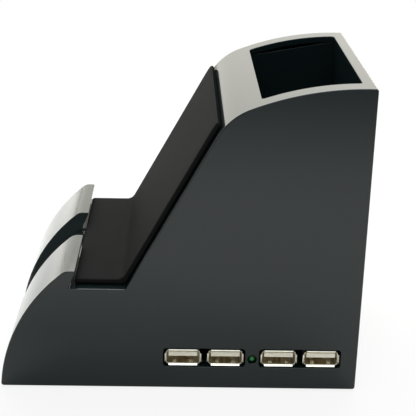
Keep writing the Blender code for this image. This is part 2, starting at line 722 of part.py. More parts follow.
def cover_outline():
    """The bottom cover in plan, clear of the housing's walls and notched round the cable channel."""
    side = INNER_X - COVER_GAP
    front = front_arc_y(COVER_TOP_Z, WALL) + COVER_GAP
    rear = INNER_REAR_Y - COVER_GAP
    notch_x = CHANNEL_WIDTH / 2 + WALL + COVER_GAP
    notch_y = ramp_y(COVER_TOP_Z, WALL) + COVER_GAP
    corners = [(-side, front), (-notch_x, front), (-notch_x, notch_y), (notch_x, notch_y),
               (notch_x, front), (side, front), (side, rear), (-side, rear)]
    corners = [Vector(corner) for corner in corners]
    points = []
    for index, corner in enumerate(corners):
        points += fillet(corners[index - 1], corner, corners[(index + 1) % len(corners)], COVER_CORNER)
    return points


def post_seat_z():
    """The height at which the cup screws' heads bear inside the cover's posts."""
    return CUP_BOSS_Z - FIT_GAP - POST_SEAT


def board_screw_places():
    """Where the board's screws stand: three by its corners and one between the two pairs of sockets."""
    places = [on_board(shares).xy for shares in BOARD_SCREW_SHARES]
    return places + [Vector((BOARD_MAX_X - BOARD_SCREW_INSET, GROUP_Y))]


def make_cover():
    """The bottom cover, with pads for its screws, posts under the cup and standoffs under the board."""
    plate = prism("bottom_cover", "plan", cover_outline(), COVER_LOW_Z, COVER_TOP_Z)
    cover = add_object("bottom_cover", plate, SATIN, PARTS)
    bite = COVER_TOP_Z - COVER_THICKNESS / 2
    low = COVER_LOW_Z - OVERRUN
    posts = [(x, CUP_MIDDLE_Y) for x in CUP_POST_XS]
    pad_seat_z = COVER_LOW_Z + SCREW_SEAT_DEPTH
    for name, places, radius, top in (("pad", BOSS_PLACES, PAD_RADIUS, PAD_TOP_Z),
                                      ("post", posts, POST_RADIUS, CUP_BOSS_Z - FIT_GAP),
                                      ("standoff", board_screw_places(), STANDOFF_RADIUS,
                                       BOARD_LOW_Z - FIT_GAP)):
        join(cover, cylinders(f"cover_{name}s", [(x, y, radius, bite, top) for x, y in places]))
    for name, places, radius, start, end in (
            ("pad_seats", BOSS_PLACES, HEAD_HOLE_RADIUS, low, pad_seat_z),
            ("post_seats", posts, HEAD_HOLE_RADIUS, low, post_seat_z()),
            ("pad_holes", BOSS_PLACES, SCREW_HOLE_RADIUS, low, PAD_TOP_Z + OVERRUN),
            ("post_holes", posts, SCREW_HOLE_RADIUS, low, CUP_BOSS_Z + OVERRUN),
            ("standoff_holes", board_screw_places(), BOARD_HOLE_RADIUS, COVER_TOP_Z,
             BOARD_LOW_Z + OVERRUN)):
        holes = [(x, y, radius, start, end) for x, y in places]
        cut(cover, cylinders(f"cover_{name}", holes, SCREW_FACETS))
    high = COVER_LOW_Z + FOOT_RECESS
    recesses = [(x, y, FOOT_RADIUS + FIT_GAP, low, high) for x, y in FOOT_PLACES.values()]
    cut(cover, cylinders("foot_recesses", recesses))


def make_feet():
    """Four round rubber feet, sunk into the cover."""
    top = COVER_LOW_Z + FOOT_RECESS - FIT_GAP
    profile = [(0, top), (FOOT_RADIUS, top), (FOOT_RADIUS, FOOT_EDGE), (FOOT_RADIUS - FOOT_EDGE, 0), (0, 0)]
    foot = turned("foot", profile, ROUND_FACETS)
    for name, (x, y) in FOOT_PLACES.items():
        add_object(name, foot, RUBBER, PARTS).location = (x, y, 0)


def screw_mesh(shaft, head, head_height, length):
    """A screw that points up: its head hangs below zero with a cross recess in its underside."""
    profile = [(0, length), (shaft - shaft / 2, length), (shaft, length - SCREW_POINT), (shaft, 0),
               (head, 0), (head, -head_height * CROSS_DEPTH_SHARE), (head * CROSS_DEPTH_SHARE, -head_height),
               (0, -head_height)]
    item = add_cutter("screw_blank", turned("screw", profile, SCREW_FACETS))
    reach = head * CROSS_LENGTH_SHARE / 2
    half = head * CROSS_WIDTH_SHARE / 2
    low = -head_height - OVERRUN
    high = -head_height * (1 - CROSS_DEPTH_SHARE)
    cut(item, boxes("cross_a", [((-reach, -half, low), (reach, half, high))]))
    cut(item, boxes("cross_b", [((-half, -reach, low), (half, reach, high))]))
    bpy.context.view_layer.update()
    return evaluated_mesh(item)


def make_screws():
    """The screws of the cover and the cup, which point up, and those of the board, which point down."""
    large = screw_mesh(SCREW_SHAFT_RADIUS, SCREW_HEAD_RADIUS, SCREW_HEAD_HEIGHT, SCREW_LENGTH)
    seat = COVER_LOW_Z + SCREW_SEAT_DEPTH - FIT_GAP
    for number, (x, y) in enumerate(BOSS_PLACES, start=1):
        add_object(f"cover_screw_{number}", large, STEEL, PARTS).location = (x, y, seat)
    for number, x in enumerate(CUP_POST_XS, start=1):
        place = (x, CUP_MIDDLE_Y, post_seat_z() - FIT_GAP)
        add_object(f"cup_screw_{number}", large, STEEL, PARTS).location = place
    small = screw_mesh(SMALL_SCREW_SHAFT_RADIUS, SMALL_SCREW_HEAD_RADIUS, SMALL_SCREW_HEAD_HEIGHT,
                       SMALL_SCREW_LENGTH)
    for number, (x, y) in enumerate(board_screw_places(), start=1):
        screw = add_object(f"board_screw_{number}", small, STEEL, PARTS)
        screw.location = (x, y, BOARD_TOP_Z + FIT_GAP)
        screw.rotation_euler = (math.pi, 0, 0)


def make_board():
    """The circuit board, with its screw holes, its slots for the shells' legs and a gap round the boss."""
    low = (BOARD_MIN_X, BOARD_FRONT_Y, BOARD_LOW_Z)
    high = (BOARD_MAX_X, BOARD_REAR_Y, BOARD_TOP_Z)
    board = add_object("hub_board", boxes("hub_board", [(low, high)]), BOARD, PARTS)
    under = BOARD_LOW_Z - OVERRUN
    over = BOARD_TOP_Z + OVERRUN
    holes = [(x, y, BOARD_HOLE_RADIUS, under, over) for x, y in board_screw_places()]
    cut(board, cylinders("board_holes", holes, SCREW_FACETS))
    boss_x, boss_y = BOSS_PLACES[3]
    reach = BOSS_RADIUS + BOSS_CLEARANCE
    slots = [((boss_x - reach, boss_y - reach, under), (boss_x + reach, BOARD_REAR_Y + OVERRUN, over))]
    for y in SOCKET_YS:
        leg_x = SIDE_X - SHELL_LEG_SETBACK
        leg_half = SHELL_LEG_WIDTH / 2 + FIT_GAP
        for side in (-1, 1):
            leg_y = y + side * (SHELL_WIDTH - SHELL_METAL) / 2
            across = SHELL_METAL / 2 + FIT_GAP
            slots.append(((leg_x - leg_half, leg_y - across, under),
                          (leg_x + leg_half, leg_y + across, over)))
        for offset in CONTACT_OFFSETS:
            tail_x = SIDE_X - CONTACT_TAIL_SETBACK
            tail_half = CONTACT_THICKNESS / 2 + FIT_GAP
            across = CONTACT_WIDTH / 2 + FIT_GAP
            slots.append(((tail_x - tail_half, y + offset - across, under),
                          (tail_x + tail_half, y + offset + across, over)))
    cut(board, boxes("board_slots", slots))


def shell_surface():
    """The open tube of a socket's shell with its four flared lips, mouth at x = 0 and facing +X."""
    half = SHELL_METAL / 2
    work = bmesh.new()
    size = (SHELL_LENGTH - SHELL_FLARE_DEPTH, SHELL_WIDTH - SHELL_METAL, SHELL_HEIGHT - SHELL_METAL)
    middle = -SHELL_FLARE_DEPTH - size[0] / 2
    place = Matrix.Translation((middle, 0, 0)) @ Matrix.Diagonal((*size, 1))
    bmesh.ops.create_cube(work, size=1, matrix=place)
    ends = [face for face in work.faces if abs(face.normal.x) > abs(face.normal.y) + abs(face.normal.z)]
    bmesh.ops.delete(work, geom=ends, context="FACES_ONLY")
    mouth = [edge for edge in work.edges
             if edge.is_boundary and all(vert.co.x > middle for vert in edge.verts)]
    for edge in mouth:
        out = sum((vert.co for vert in edge.verts), Vector()) / 2
        out.x = 0
        out.normalize()
        along = (edge.verts[1].co - edge.verts[0].co).normalized()
        lip = bmesh.ops.extrude_edge_only(work, edges=[edge])
        tips = [item for item in lip["geom"] if isinstance(item, bmesh.types.BMVert)]
        centre = sum((vert.co for vert in tips), Vector()) / 2
        for vert in tips:
            inward = -math.copysign(SHELL_FLARE_TAPER, (vert.co - centre).dot(along))
            vert.co += along * inward + out * (SHELL_FLARE - half) + Vector((SHELL_FLARE_DEPTH - half, 0, 0))
    bmesh.ops.recalc_face_normals(work, faces=work.faces)
    return finish_bmesh(work, "shell")


def shell_mesh():
    """A socket's shell of bent sheet steel, with two legs, a short floor and two leaf springs in it."""
    item = add_cutter("shell_blank", shell_surface())
    solid = item.modifiers.new("metal", "SOLIDIFY")
    solid.thickness = SHELL_METAL
    solid.offset = 0
    solid.use_even_offset = True
    floor = -SHELL_HEIGHT / 2
    rear = -SHELL_LENGTH - OVERRUN
    side = SHELL_WIDTH / 2
    inside = side - SHELL_METAL - FIT_GAP
    cut(item, boxes("floor_cut", [((rear, -inside, floor - OVERRUN),
                                   (SHELL_FLOOR_CUT - SHELL_LENGTH, inside, floor + SHELL_METAL + FIT_GAP))]))
    leg_x = SHELL_LEG_WIDTH / 2
    middle = -SHELL_LEG_SETBACK
    legs = [((middle - leg_x, low, floor - SHELL_LEG_LENGTH),
             (middle + leg_x, low + SHELL_METAL, floor + SHELL_HEIGHT / 2))
            for low in (-side, side - SHELL_METAL)]
    join(item, boxes("legs", legs))
    join(item, springs())
    bpy.context.view_layer.update()
    mesh = evaluated_mesh(item)
    smooth(mesh)
    return mesh


def springs():
    """Two leaf springs that rise from the shell's floor, highest in the middle of their length."""
    base = -SHELL_HEIGHT / 2 + SHELL_METAL / 2
    high = base + SHELL_METAL / 2 + SPRING_RISE
    front = -SPRING_SETBACK
    crest = front - SPRING_LENGTH / 2
    outline = [Vector((front, base)), Vector((crest, high)), Vector((front - SPRING_LENGTH, base))]
    work = bmesh.new()
    for side in (-1, 1):
        low = side * SPRING_SPREAD / 2 - SPRING_WIDTH / 2
        work.from_mesh(prism("spring", "front", outline, low, low + SPRING_WIDTH))
    return finish_bmesh(work, "springs")


def tongue_mesh():
    """A socket's insulator: a tongue in the upper half and a block behind it, slotted for the contacts."""
    inner = SHELL_HEIGHT / 2 - SHELL_METAL - FIT_GAP
    rear = -SHELL_LENGTH + FIT_GAP
    block = -TONGUE_BLOCK_SETBACK
    tip = -TONGUE_SETBACK
    half = SHELL_WIDTH / 2 - SHELL_METAL - TONGUE_SIDE_GAP
    outline = [(rear, -inner), (block, -inner), (block, TONGUE_RISE), (tip, TONGUE_RISE),
               (tip, TONGUE_TOP), (block, TONGUE_TOP), (block, inner), (rear, inner)]
    blank = prism("tongue", "front", [Vector(point) for point in outline], -half, half)
    item = add_cutter("tongue_blank", blank)
    tail = -CONTACT_TAIL_SETBACK - CONTACT_THICKNESS / 2 - FIT_GAP
    across = CONTACT_WIDTH / 2 + FIT_GAP
    roof = TONGUE_RISE - FIT_GAP / 2
    slots = [((tail, y - across, -inner - OVERRUN), (block + FIT_GAP, y + across, roof))
             for y in CONTACT_OFFSETS]
    cut(item, boxes("contact_slots", slots))
    bpy.context.view_layer.update()
    return evaluated_mesh(item)


def contact_mesh():
    """A socket's contact: a strip under the tongue that turns down through the board."""
    high = TONGUE_RISE - FIT_GAP
    low = high - CONTACT_THICKNESS
    tail = -CONTACT_TAIL_SETBACK
    half = CONTACT_THICKNESS / 2
    foot = BOARD_LOW_Z - CONTACT_TAIL_BELOW_BOARD - SOCKET_Z
    outline = [(tail - half, foot), (tail + half, foot), (tail + half, low), (-CONTACT_SETBACK, low),
               (-CONTACT_SETBACK, high), (tail - half, high)]
    outline = [Vector(point) for point in outline]
    return prism("contact", "front", outline, -CONTACT_WIDTH / 2, CONTACT_WIDTH / 2)


def make_sockets():
    """Four charging sockets: a shell, an insulator and four contacts each."""
    shell = shell_mesh()
    tongue = tongue_mesh()
    contact = contact_mesh()
    for number, y in enumerate(SOCKET_YS, start=1):
        place = Vector((SIDE_X, y, SOCKET_Z))
        add_object(f"socket_{number}_shell", shell, NICKEL, PARTS).location = place
        add_object(f"socket_{number}_tongue", tongue, CREAM, PARTS).location = place
        for pin, offset in enumerate(CONTACT_OFFSETS, start=1):
            item = add_object(f"socket_{number}_contact_{pin}", contact, BRASS, PARTS)
            item.location = place + Vector((0, offset, 0))


def make_light():
    """The power light: a round green lens through the side wall, with two leads down to the board."""
    flange_front = INNER_X - FIT_GAP
    flange_rear = flange_front - LIGHT_FLANGE_LENGTH
    tip = SIDE_X - LIGHT_RECESS
    dome = arc((0, tip - LIGHT_RADIUS), LIGHT_RADIUS, math.pi / 2, 0)
    profile = [(0, tip)] + [tuple(point) for point in dome[1:]]
    profile += [(LIGHT_RADIUS, flange_front), (LIGHT_FLANGE_RADIUS, flange_front),
                (LIGHT_FLANGE_RADIUS, flange_rear), (0, flange_rear)]
    lens = turned("power_light", profile, ROUND_FACETS)
    lens.transform(Matrix.Translation((0, GROUP_Y, LIGHT_Z)) @ Matrix.Rotation(math.pi / 2, 4, "Y"))
    add_object("power_light", lens, GREEN, PARTS)
    start = flange_rear - FIT_GAP
    down = start - LIGHT_LEAD_RUN
    low = BOARD_TOP_Z + FIT_GAP
    path = [(start, 0, LIGHT_Z), (down + LIGHT_LEAD_BEND, 0, LIGHT_Z), (down, 0, LIGHT_Z - LIGHT_LEAD_BEND),
            (down, 0, low)]
    lead = wire("light_lead", path, LIGHT_LEAD_RADIUS)
    for number, side in enumerate((-1, 1), start=1):
        item = add_object(f"light_lead_{number}", lead, STEEL, PARTS)
        item.location.y = GROUP_Y + side * LIGHT_LEAD_SPREAD / 2


def on_board(shares):
    """A place just clear of the board's top face, as shares of its width and length."""
    return Vector((BOARD_MIN_X + BOARD_WIDTH * shares[0], BOARD_FRONT_Y + BOARD_LENGTH * shares[1],
                   BOARD_TOP_Z + FIT_GAP))


def make_chip():
    """The hub's controller chip with its two rows of leads."""
    seat = on_board(CHIP_PLACE_SHARES)
    half = Vector((CHIP_BODY[0] / 2, CHIP_BODY[1] / 2, 0))
    lift = Vector((0, 0, CHIP_LEAD_THICKNESS / 2))
    top = Vector((0, 0, CHIP_BODY[2]))
    chip = add_object("hub_chip", boxes("hub_chip", [(seat - half + lift, seat + half + top)]), BLACK, PARTS)
    leads = []
    for side in (-1, 1):
        inner = seat.x + side * (half.x - CHIP_LEAD_REACH / 2)
        outer = seat.x + side * (half.x + CHIP_LEAD_REACH)
        for index in range(CHIP_LEADS_A_SIDE):
            y = seat.y + (index - (CHIP_LEADS_A_SIDE - 1) / 2) * CHIP_LEAD_PITCH
            leads.append(((min(inner, outer), y - CHIP_LEAD_WIDTH / 2, seat.z),
                          (max(inner, outer), y + CHIP_LEAD_WIDTH / 2, seat.z + CHIP_LEAD_THICKNESS)))
    join(chip, boxes("chip_leads", leads))


def make_small_parts():
    """The crystal and the two capacitors on the board."""
    seat = on_board(CRYSTAL_PLACE_SHARES)
    half = Vector((CRYSTAL_SIZE[0] / 2, CRYSTAL_SIZE[1] / 2))
    outline = rounded_rectangle(seat.xy - half, seat.xy + half, CRYSTAL_SIZE[0] / 2 - CAPACITOR_EDGE)
    can = prism("crystal", "plan", outline, seat.z, seat.z + CRYSTAL_SIZE[2])
    add_object("crystal", can, STEEL, PARTS)
    for number, place in enumerate(CAPACITOR_PLACE_SHARES):
        radius = CAPACITOR_RADII[number]
        height = CAPACITOR_HEIGHTS[number]
        profile = [(0, height), (radius - CAPACITOR_EDGE, height), (radius, height - CAPACITOR_EDGE),
                   (radius, 0), (0, 0)]
        mesh = turned("capacitor", profile, ROUND_FACETS)
        add_object(f"capacitor_{number + 1}", mesh, BLACK, PARTS).location = on_board(place)


def make_inlet():
    """The supply inlet: a steel shell, an insulator with a tongue, and five contacts on the tongue."""
    low, high = inlet_box()
    shell = add_object("inlet_shell", boxes("inlet_shell", [(low, high)]), NICKEL, PARTS)
    metal = Vector((INLET_METAL, INLET_METAL, INLET_METAL))
    cut(shell, boxes("inlet_hollow", [(low + metal, high - metal + Vector((0, OVERRUN, 0)))]))
    middle = (low.x + high.x) / 2
    inside = low + metal + Vector((0, FIT_GAP, FIT_GAP))
    tip = high.y - INLET_TONGUE_SETBACK
    block = inside.y + INLET_BLOCK_LENGTH
    tongue_z = (low.z + high.z - INLET_TONGUE_THICKNESS) / 2
    top = high.z - INLET_METAL - FIT_GAP
    outline = [(inside.y, inside.z), (block, inside.z), (block, tongue_z), (tip, tongue_z),
               (tip, tongue_z + INLET_TONGUE_THICKNESS), (block, tongue_z + INLET_TONGUE_THICKNESS),
               (block, top), (inside.y, top)]
    half = INLET_TONGUE_WIDTH / 2
    mesh = prism("inlet_tongue", "side", [Vector(point) for point in outline], middle - half, middle + half)
    add_object("inlet_tongue", mesh, BLACK, PARTS)
    contact_z = tongue_z + INLET_TONGUE_THICKNESS + FIT_GAP
    contact = boxes("inlet_contact", [((-INLET_CONTACT_WIDTH / 2, block + FIT_GAP, contact_z),
                                       (INLET_CONTACT_WIDTH / 2, tip - FIT_GAP,
                                        contact_z + INLET_CONTACT_THICKNESS))])
    for index in range(INLET_CONTACTS):
        item = add_object(f"inlet_contact_{index + 1}", contact, BRASS, PARTS)
        item.location.x = middle + (index - (INLET_CONTACTS - 1) / 2) * INLET_CONTACT_PITCH


clear_scene()
PARTS = new_collection("charging_pen_holder")
CUTTERS = new_collection("cutters")
GLOSS = surface("gloss_black_plastic", (0.012, 0.013, 0.014), 0.12)
SATIN = surface("satin_black_plastic", (0.02, 0.02, 0.021), 0.5)
RUBBER = surface("black_rubber", (0.03, 0.03, 0.028), 0.75)
NICKEL = surface("nickel_plated_steel", (0.78, 0.75, 0.68), 0.22, 1.0)
STEEL = surface("zinc_plated_steel", (0.6, 0.6, 0.6), 0.35, 1.0)
BRASS = surface("gilt_contact", (0.8, 0.6, 0.3), 0.3, 1.0)
CREAM = surface("cream_insulator", (0.82, 0.8, 0.7), 0.45)
GREEN = surface("green_lens", (0.02, 0.25, 0.08), 0.15)
BOARD = surface("green_circuit_board", (0.02, 0.12, 0.05), 0.4)
BLACK = surface("black_component", (0.03, 0.03, 0.03), 0.5)
make_housing()
make_mat()
make_cup()
make_cover()
make_feet()
make_screws()
make_board()
make_sockets()
make_light()
make_chip()
make_small_parts()
make_inlet()
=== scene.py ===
"""Looks of a gloss black charging pen holder: its housing, pen cup, cradle mat and charging hub.

Metres, +Z up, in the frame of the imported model: the front lip faces -Y, the charging sockets face +X, and
the origin lies on the desk under the middle of the holder.
"""
import math

import bmesh
import bpy
import numpy as np
from mathutils import Matrix, Vector


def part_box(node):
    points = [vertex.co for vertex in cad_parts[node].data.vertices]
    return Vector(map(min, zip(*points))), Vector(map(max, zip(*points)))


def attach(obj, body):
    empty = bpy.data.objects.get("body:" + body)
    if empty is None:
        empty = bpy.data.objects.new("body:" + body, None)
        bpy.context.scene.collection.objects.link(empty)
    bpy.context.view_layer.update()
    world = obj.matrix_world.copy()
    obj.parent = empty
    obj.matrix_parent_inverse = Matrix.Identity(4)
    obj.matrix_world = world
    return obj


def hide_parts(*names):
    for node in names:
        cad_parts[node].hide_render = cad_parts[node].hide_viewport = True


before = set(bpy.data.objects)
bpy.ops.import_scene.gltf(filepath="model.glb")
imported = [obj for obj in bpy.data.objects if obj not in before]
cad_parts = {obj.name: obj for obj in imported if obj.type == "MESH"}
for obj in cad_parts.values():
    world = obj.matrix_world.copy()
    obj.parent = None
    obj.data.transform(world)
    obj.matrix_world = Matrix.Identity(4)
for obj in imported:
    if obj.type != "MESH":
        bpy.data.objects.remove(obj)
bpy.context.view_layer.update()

# Housing: overall sizes and walls.
WIDTH = 0.098
DEPTH = 0.138
HEIGHT = 0.121
STAND = 0.001
WALL = 0.0024
FIT_GAP = 0.0003
OVERRUN = 0.004
CORNER_ROUND = 0.001
FRONT_Y = -DEPTH / 2
REAR_Y = DEPTH / 2
SIDE_X = WIDTH / 2
INNER_X = SIDE_X - WALL
INNER_REAR_Y = REAR_Y - WALL

# Side outline: the bowed front, the lip, the groove, the slope, the shoulder and the bowed top.
FRONT_CENTRE_DROP = 0.004
FRONT_RADIUS = 0.066976
LIP_Z = 0.0498
LIP_Y = -0.0392
LIP_ROUND = 0.0047
LIP_EDGE_ROUND = 0.0006
LIP_FOOT_Y = -0.0423
LIP_FOOT_ROUND = 0.0004
GROOVE_Z = 0.0426
GROOVE_WIDTH = 0.0215
GROOVE_ROUND = 0.0008
SLOPE_ANGLE = math.radians(61.5)
SLOPE_TOP_Z = 0.103
SHOULDER_RADIUS = 0.024
TOP_RADIUS = 0.113751
TOP_APEX_INSET = 0.0025

# Rounding of the housing's side edges, of the cut openings, and the flat ring that keeps the sides flat.
SIDE_EDGE = 0.0004
CUT_EDGE = 0.00028
FLAT_RING = 0.00012

# Cable channel down the front.
CHANNEL_X = 0.0125
CHANNEL_DEPTH = 0.007
CHANNEL_SILL_DROP = 0.0006
CHANNEL_SILL_AHEAD = 0.0022
CHANNEL_SILL_BEHIND = 0.0015
CHANNEL_ROUND = 0.002

# Pen cup.
CUP_X = 0.0408
CUP_WALL = 0.0018
CUP_CORNER = 0.0015
CUP_REAR_Y = 0.0644
CUP_FLOOR_Z = 0.0255
CUP_FLOOR = 0.002
CUP_FILLET = 0.0015
CUP_RIM_ROUND = 0.00008
CUP_SET_BACK = 0.0003
CUP_STRAIGHT_TOP_Z = 0.101
CUP_BEHIND_SLOPE = 0.0163
CUP_MIDDLE_Y = 0.04635
CUP_BOSS_RADIUS = 0.003
CUP_BOSS_Z = 0.0175
MOUTH_CUT_Z = 0.08
POST_PLACES = ((-0.023, CUP_MIDDLE_Y), (0.003, CUP_MIDDLE_Y))

# Cradle mat.
MAT_THICKNESS = 0.002
MAT_SIDE_INSET = 0.0042
MAT_LIP_GAP = 0.0022
MAT_CORNER = 0.004
MAT_EDGE = 0.0008
MAT_TOP_ARC = math.radians(9)

# Charging sockets and the power light in the right side.
SOCKET_Z = 0.0141
SOCKET_YS = (0.00145, 0.01785, 0.03855, 0.05495)
GROUP_Y = 0.0282
SHELL_WIDTH = 0.0131
SHELL_HEIGHT = 0.0057
SHELL_METAL = 0.0003
SHELL_FLARE = 0.0006
SHELL_LENGTH = 0.014
SHELL_BEND = 0.0009
FLARE_DEPTH = 0.0007
FLARE_EXTRA = 0.0002
FLARE_ROOT = 0.0004
FLARE_SETBACK = 0.0001
FLARE_TAPER = 0.0001
SPRING_SPREAD = 0.0064
SPRING_SETBACK = 0.0012
SPRING_LENGTH = 0.0045
SPRING_BOW = 0.0007
SPRING_HALF_WIDTH = 0.0007
LEG_DROP = 0.003
LEG_HALF_WIDTH = 0.001
LEG_SETBACK = 0.0085
FLOOR_OPENING = 0.0042
SLOT_CLEARANCE = 0.0005
SLOT_CORNER = 0.0014
LIGHT_Z = 0.0136
LIGHT_RADIUS = 0.0015
LIGHT_RECESS = 0.0003
LIGHT_FLANGE_RADIUS = 0.0019
LIGHT_FLANGE_LENGTH = 0.001

# Supply inlet in the rear.
INLET_LOW = (0.01414, 0.0589, 0.01125)
INLET_HIGH = (0.02184, 0.0682, 0.01515)
INLET_SLOT_CLEARANCE = 0.0005
INLET_SLOT_CORNER = 0.001
INLET_BEND = 0.0009
INLET_BACK_INSET = 0.00015
INLET_BACK_CORNER = 0.0008

# Bottom cover, screws and feet.
COVER_LOW_Z = 0.0012
COVER_TOP_Z = 0.0034
COVER_GAP = 0.0004
COVER_CORNER = 0.0015
COVER_EDGE = 0.0004
COVER_CUT_EDGE = 0.0002
PAD_TOP_Z = 0.005
PAD_RADIUS = 0.0036
POST_RADIUS = 0.0035
POST_SEAT_Z = 0.0132
STANDOFF_RADIUS = 0.0026
STANDOFF_TOP_Z = 0.00905
SCREW_HOLE_RADIUS = 0.00145
HEAD_HOLE_RADIUS = 0.0026
BOARD_HOLE_RADIUS = 0.0012
SCREW_SEAT_DEPTH = 0.0022
SCREW_LENGTH = 0.008
SCREW_TIP = 0.001
BOSS_LOW_Z = 0.0053
BOSS_LENGTH = 0.012
BOSS_RADIUS = 0.003
BOSS_RIB = 0.0016
BOSS_BITE = 0.0008
BOSS_PLACES = ((-0.0426, -0.0545), (0.0426, -0.0545), (-0.027, 0.0626), (0.027, 0.0626))
FOOT_RADIUS = 0.0045
FOOT_RECESS = 0.0008
FOOT_EDGE = 0.0005
FOOT_PLACES = {"foot_front_left": (-0.034, -0.043), "foot_front_right": (0.034, -0.043),
               "foot_rear_left": (-0.04, 0.059), "foot_rear_right": (0.04, 0.059)}

# Screws of the cover and the cup, and of the board: head radius, head height, shaft radius and length.
LARGE_SCREW = (0.0023, 0.0014, 0.00115, SCREW_LENGTH)
SMALL_SCREW = (0.0019, 0.0013, 0.0009, 0.006)

# The photograph's camera: pitch, yaw and roll in degrees, place in metres, lens and sensor in millimetres.
CAMERA_ANGLES = (20.7093, -1.7833, 1.5833)
CAMERA_PLACE = (0.424691, -0.002153, 0.218198)
CAMERA_LENS = 94.866
CAMERA_SENSOR = 36.0

# Soft lamps: place, width and height, brightness per area, where 1 shows white, and colour.
LAMPS = {
    "soft_box": ((-0.42, 0.0, 0.5), (0.7, 0.45), 3.2, (1.0, 1.0, 1.0)),
    "floor_wash": ((-1.1, 0.0, 0.6), (2.2, 1.4), 1.3, (1.0, 0.99, 0.95)),
    "front_panel": ((0.48, 0.0, 0.62), (0.5, 0.5), 1.8, (0.84, 0.94, 1.0)),
    "overhead_panel": ((-0.15, -0.05, 0.75), (0.5, 0.8), 1.7, (0.97, 1.0, 1.0)),
}
LAMP_AIM = (0.0, 0.0, 0.05)
WASH_SPREAD = math.radians(70)

# Floor: its half size, the middle and the reach of a painted shadow beside the housing's toe.
FLOOR_HALF = 8
PAINTED_SHADE_PLACE = (0.1, -0.055, 0.0)
PAINTED_SHADE_REACH = 0.085


def linear(code):
    """An sRGB hex code as linear red, green, blue and full alpha."""
    value = np.array([int(code[index:index + 2], 16) for index in (1, 3, 5)]) / 255
    value = np.where(value <= 0.04045, value / 12.92, ((value + 0.055) / 1.055) ** 2.4)
    return (*value.tolist(), 1.0)


def plug(tree, item, inputs):
    """Fills a node's inputs, each with a value or with a (node, output) link."""
    for name, value in inputs.items():
        if isinstance(value, tuple) and isinstance(value[0], bpy.types.Node):
            tree.links.new(value[0].outputs[value[1]], item.inputs[name])
        else:
            item.inputs[name].default_value = value


def add_node(tree, kind, inputs=None, **settings):
    """Adds a shader node with its settings and its inputs."""
    item = tree.nodes.new(f"ShaderNode{kind}")
    for name, value in settings.items():
        setattr(item, name, value)
    plug(tree, item, inputs or {})
    return item


def new_material(name, **values):
    """A material with its node tree, its shader and the link to its object coordinates. Values are called
    after the shader's sockets, with _ for a space."""
    material = bpy.data.materials.new(name)
    material.use_nodes = True
    tree = material.node_tree
    shader = tree.nodes["Principled BSDF"]
    plug(tree, shader, {socket.replace("_", " "): value for socket, value in values.items()})
    return material, tree, shader, (add_node(tree, "TexCoord"), "Object")


def mottled(name, scale, detail, dark, light, rough=None, stretch=None, **values):
    """A material whose colour runs between two tones with a noise of so many waves per metre: 2000 makes
    grains of half a millimetre. Rough is the range of its roughness, which follows the same noise."""
    material, tree, shader, place = new_material(name, **values)
    source = place
    if stretch:
        source = (add_node(tree, "Mapping", {"Vector": place, "Scale": stretch}), "Vector")
    noise = add_node(tree, "TexNoise", {"Vector": source, "Scale": scale, "Detail": detail})
    tint = add_node(tree, "Mix", {"Factor": (noise, "Fac"), 6: linear(dark), 7: linear(light)},
                    data_type="RGBA")
    plug(tree, shader, {"Base Color": (tint, 2)})
    if rough:
        level = add_node(tree, "MapRange", {"Value": (noise, "Fac"), "To Min": rough[0], "To Max": rough[1]})
        plug(tree, shader, {"Roughness": (level, "Result")})
    return material, tree, shader, place, tint


def directions(angle):
    """Rows (cos a, sin a)."""
    return np.stack([np.cos(angle), np.sin(angle)], axis=1)


def arc_run(centre, radius, start, end, count, hollow=False):
    """Rows (u, v, nu, nv) on an arc: c + r (cos a, sin a) for even steps of a, with the normal
    (cos a, sin a), turned round where the arc is hollow."""
    ray = directions(np.linspace(start, end, count))
    return np.hstack([np.asarray(centre, float) + radius * ray, -ray if hollow else ray])


def straight_run(start, end, count):
    """Rows between two rows with their own ends left out: p + t (q - p) for even steps of t, with the
    first row's normal."""
    share = np.linspace(0, 1, count + 2)[1:-1, None]
    points = start[:2] + share * (end[:2] - start[:2])
    return np.hstack([points, np.broadcast_to(start[2:], points.shape)])


def heading(vector):
    """The angle at which a flat vector points."""
    return math.atan2(vector[1], vector[0])


def fillet(before, corner, after, radius, count):
    """Rows of the arc that rounds the corner of a clockwise outline and touches both of its edges."""
    before, corner, after = (np.asarray(point, float) for point in (before, corner, after))
    back = (before - corner) / np.linalg.norm(before - corner)
    ahead = (after - corner) / np.linalg.norm(after - corner)
    half = math.acos(float(np.clip(back @ ahead, -1, 1))) / 2
    middle = (back + ahead) / np.linalg.norm(back + ahead)
    centre = corner + middle * radius / math.sin(half)
    reach = radius / math.tan(half)
    start = heading(corner + back * reach - centre)
    turn = math.remainder(heading(corner + ahead * reach - centre) - start, math.tau)
    return arc_run(centre, radius, start, start + turn, count, hollow=turn > 0)


FRONT_CENTRE = np.array([FRONT_Y + math.sqrt(FRONT_RADIUS ** 2 - FRONT_CENTRE_DROP ** 2),
                         STAND - FRONT_CENTRE_DROP])
SLOPE_ALONG = np.array([math.cos(SLOPE_ANGLE), math.sin(SLOPE_ANGLE)])
SLOPE_INTO = np.array([math.sin(SLOPE_ANGLE), -math.cos(SLOPE_ANGLE)])
SLOPE_START = np.array([LIP_FOOT_Y + GROOVE_WIDTH, GROOVE_Z])
SLOPE_OUT_ANGLE = SLOPE_ANGLE + math.pi / 2
SLOPE_TOP = SLOPE_START + SLOPE_ALONG * (SLOPE_TOP_Z - GROOVE_Z) / SLOPE_ALONG[1]
SHOULDER_CENTRE = SLOPE_TOP + SLOPE_INTO * SHOULDER_RADIUS
TOP_CENTRE = np.array([REAR_Y - TOP_APEX_INSET, STAND + HEIGHT - TOP_RADIUS])
CUP_FRONT_Y = SLOPE_TOP[0] + CUP_BEHIND_SLOPE


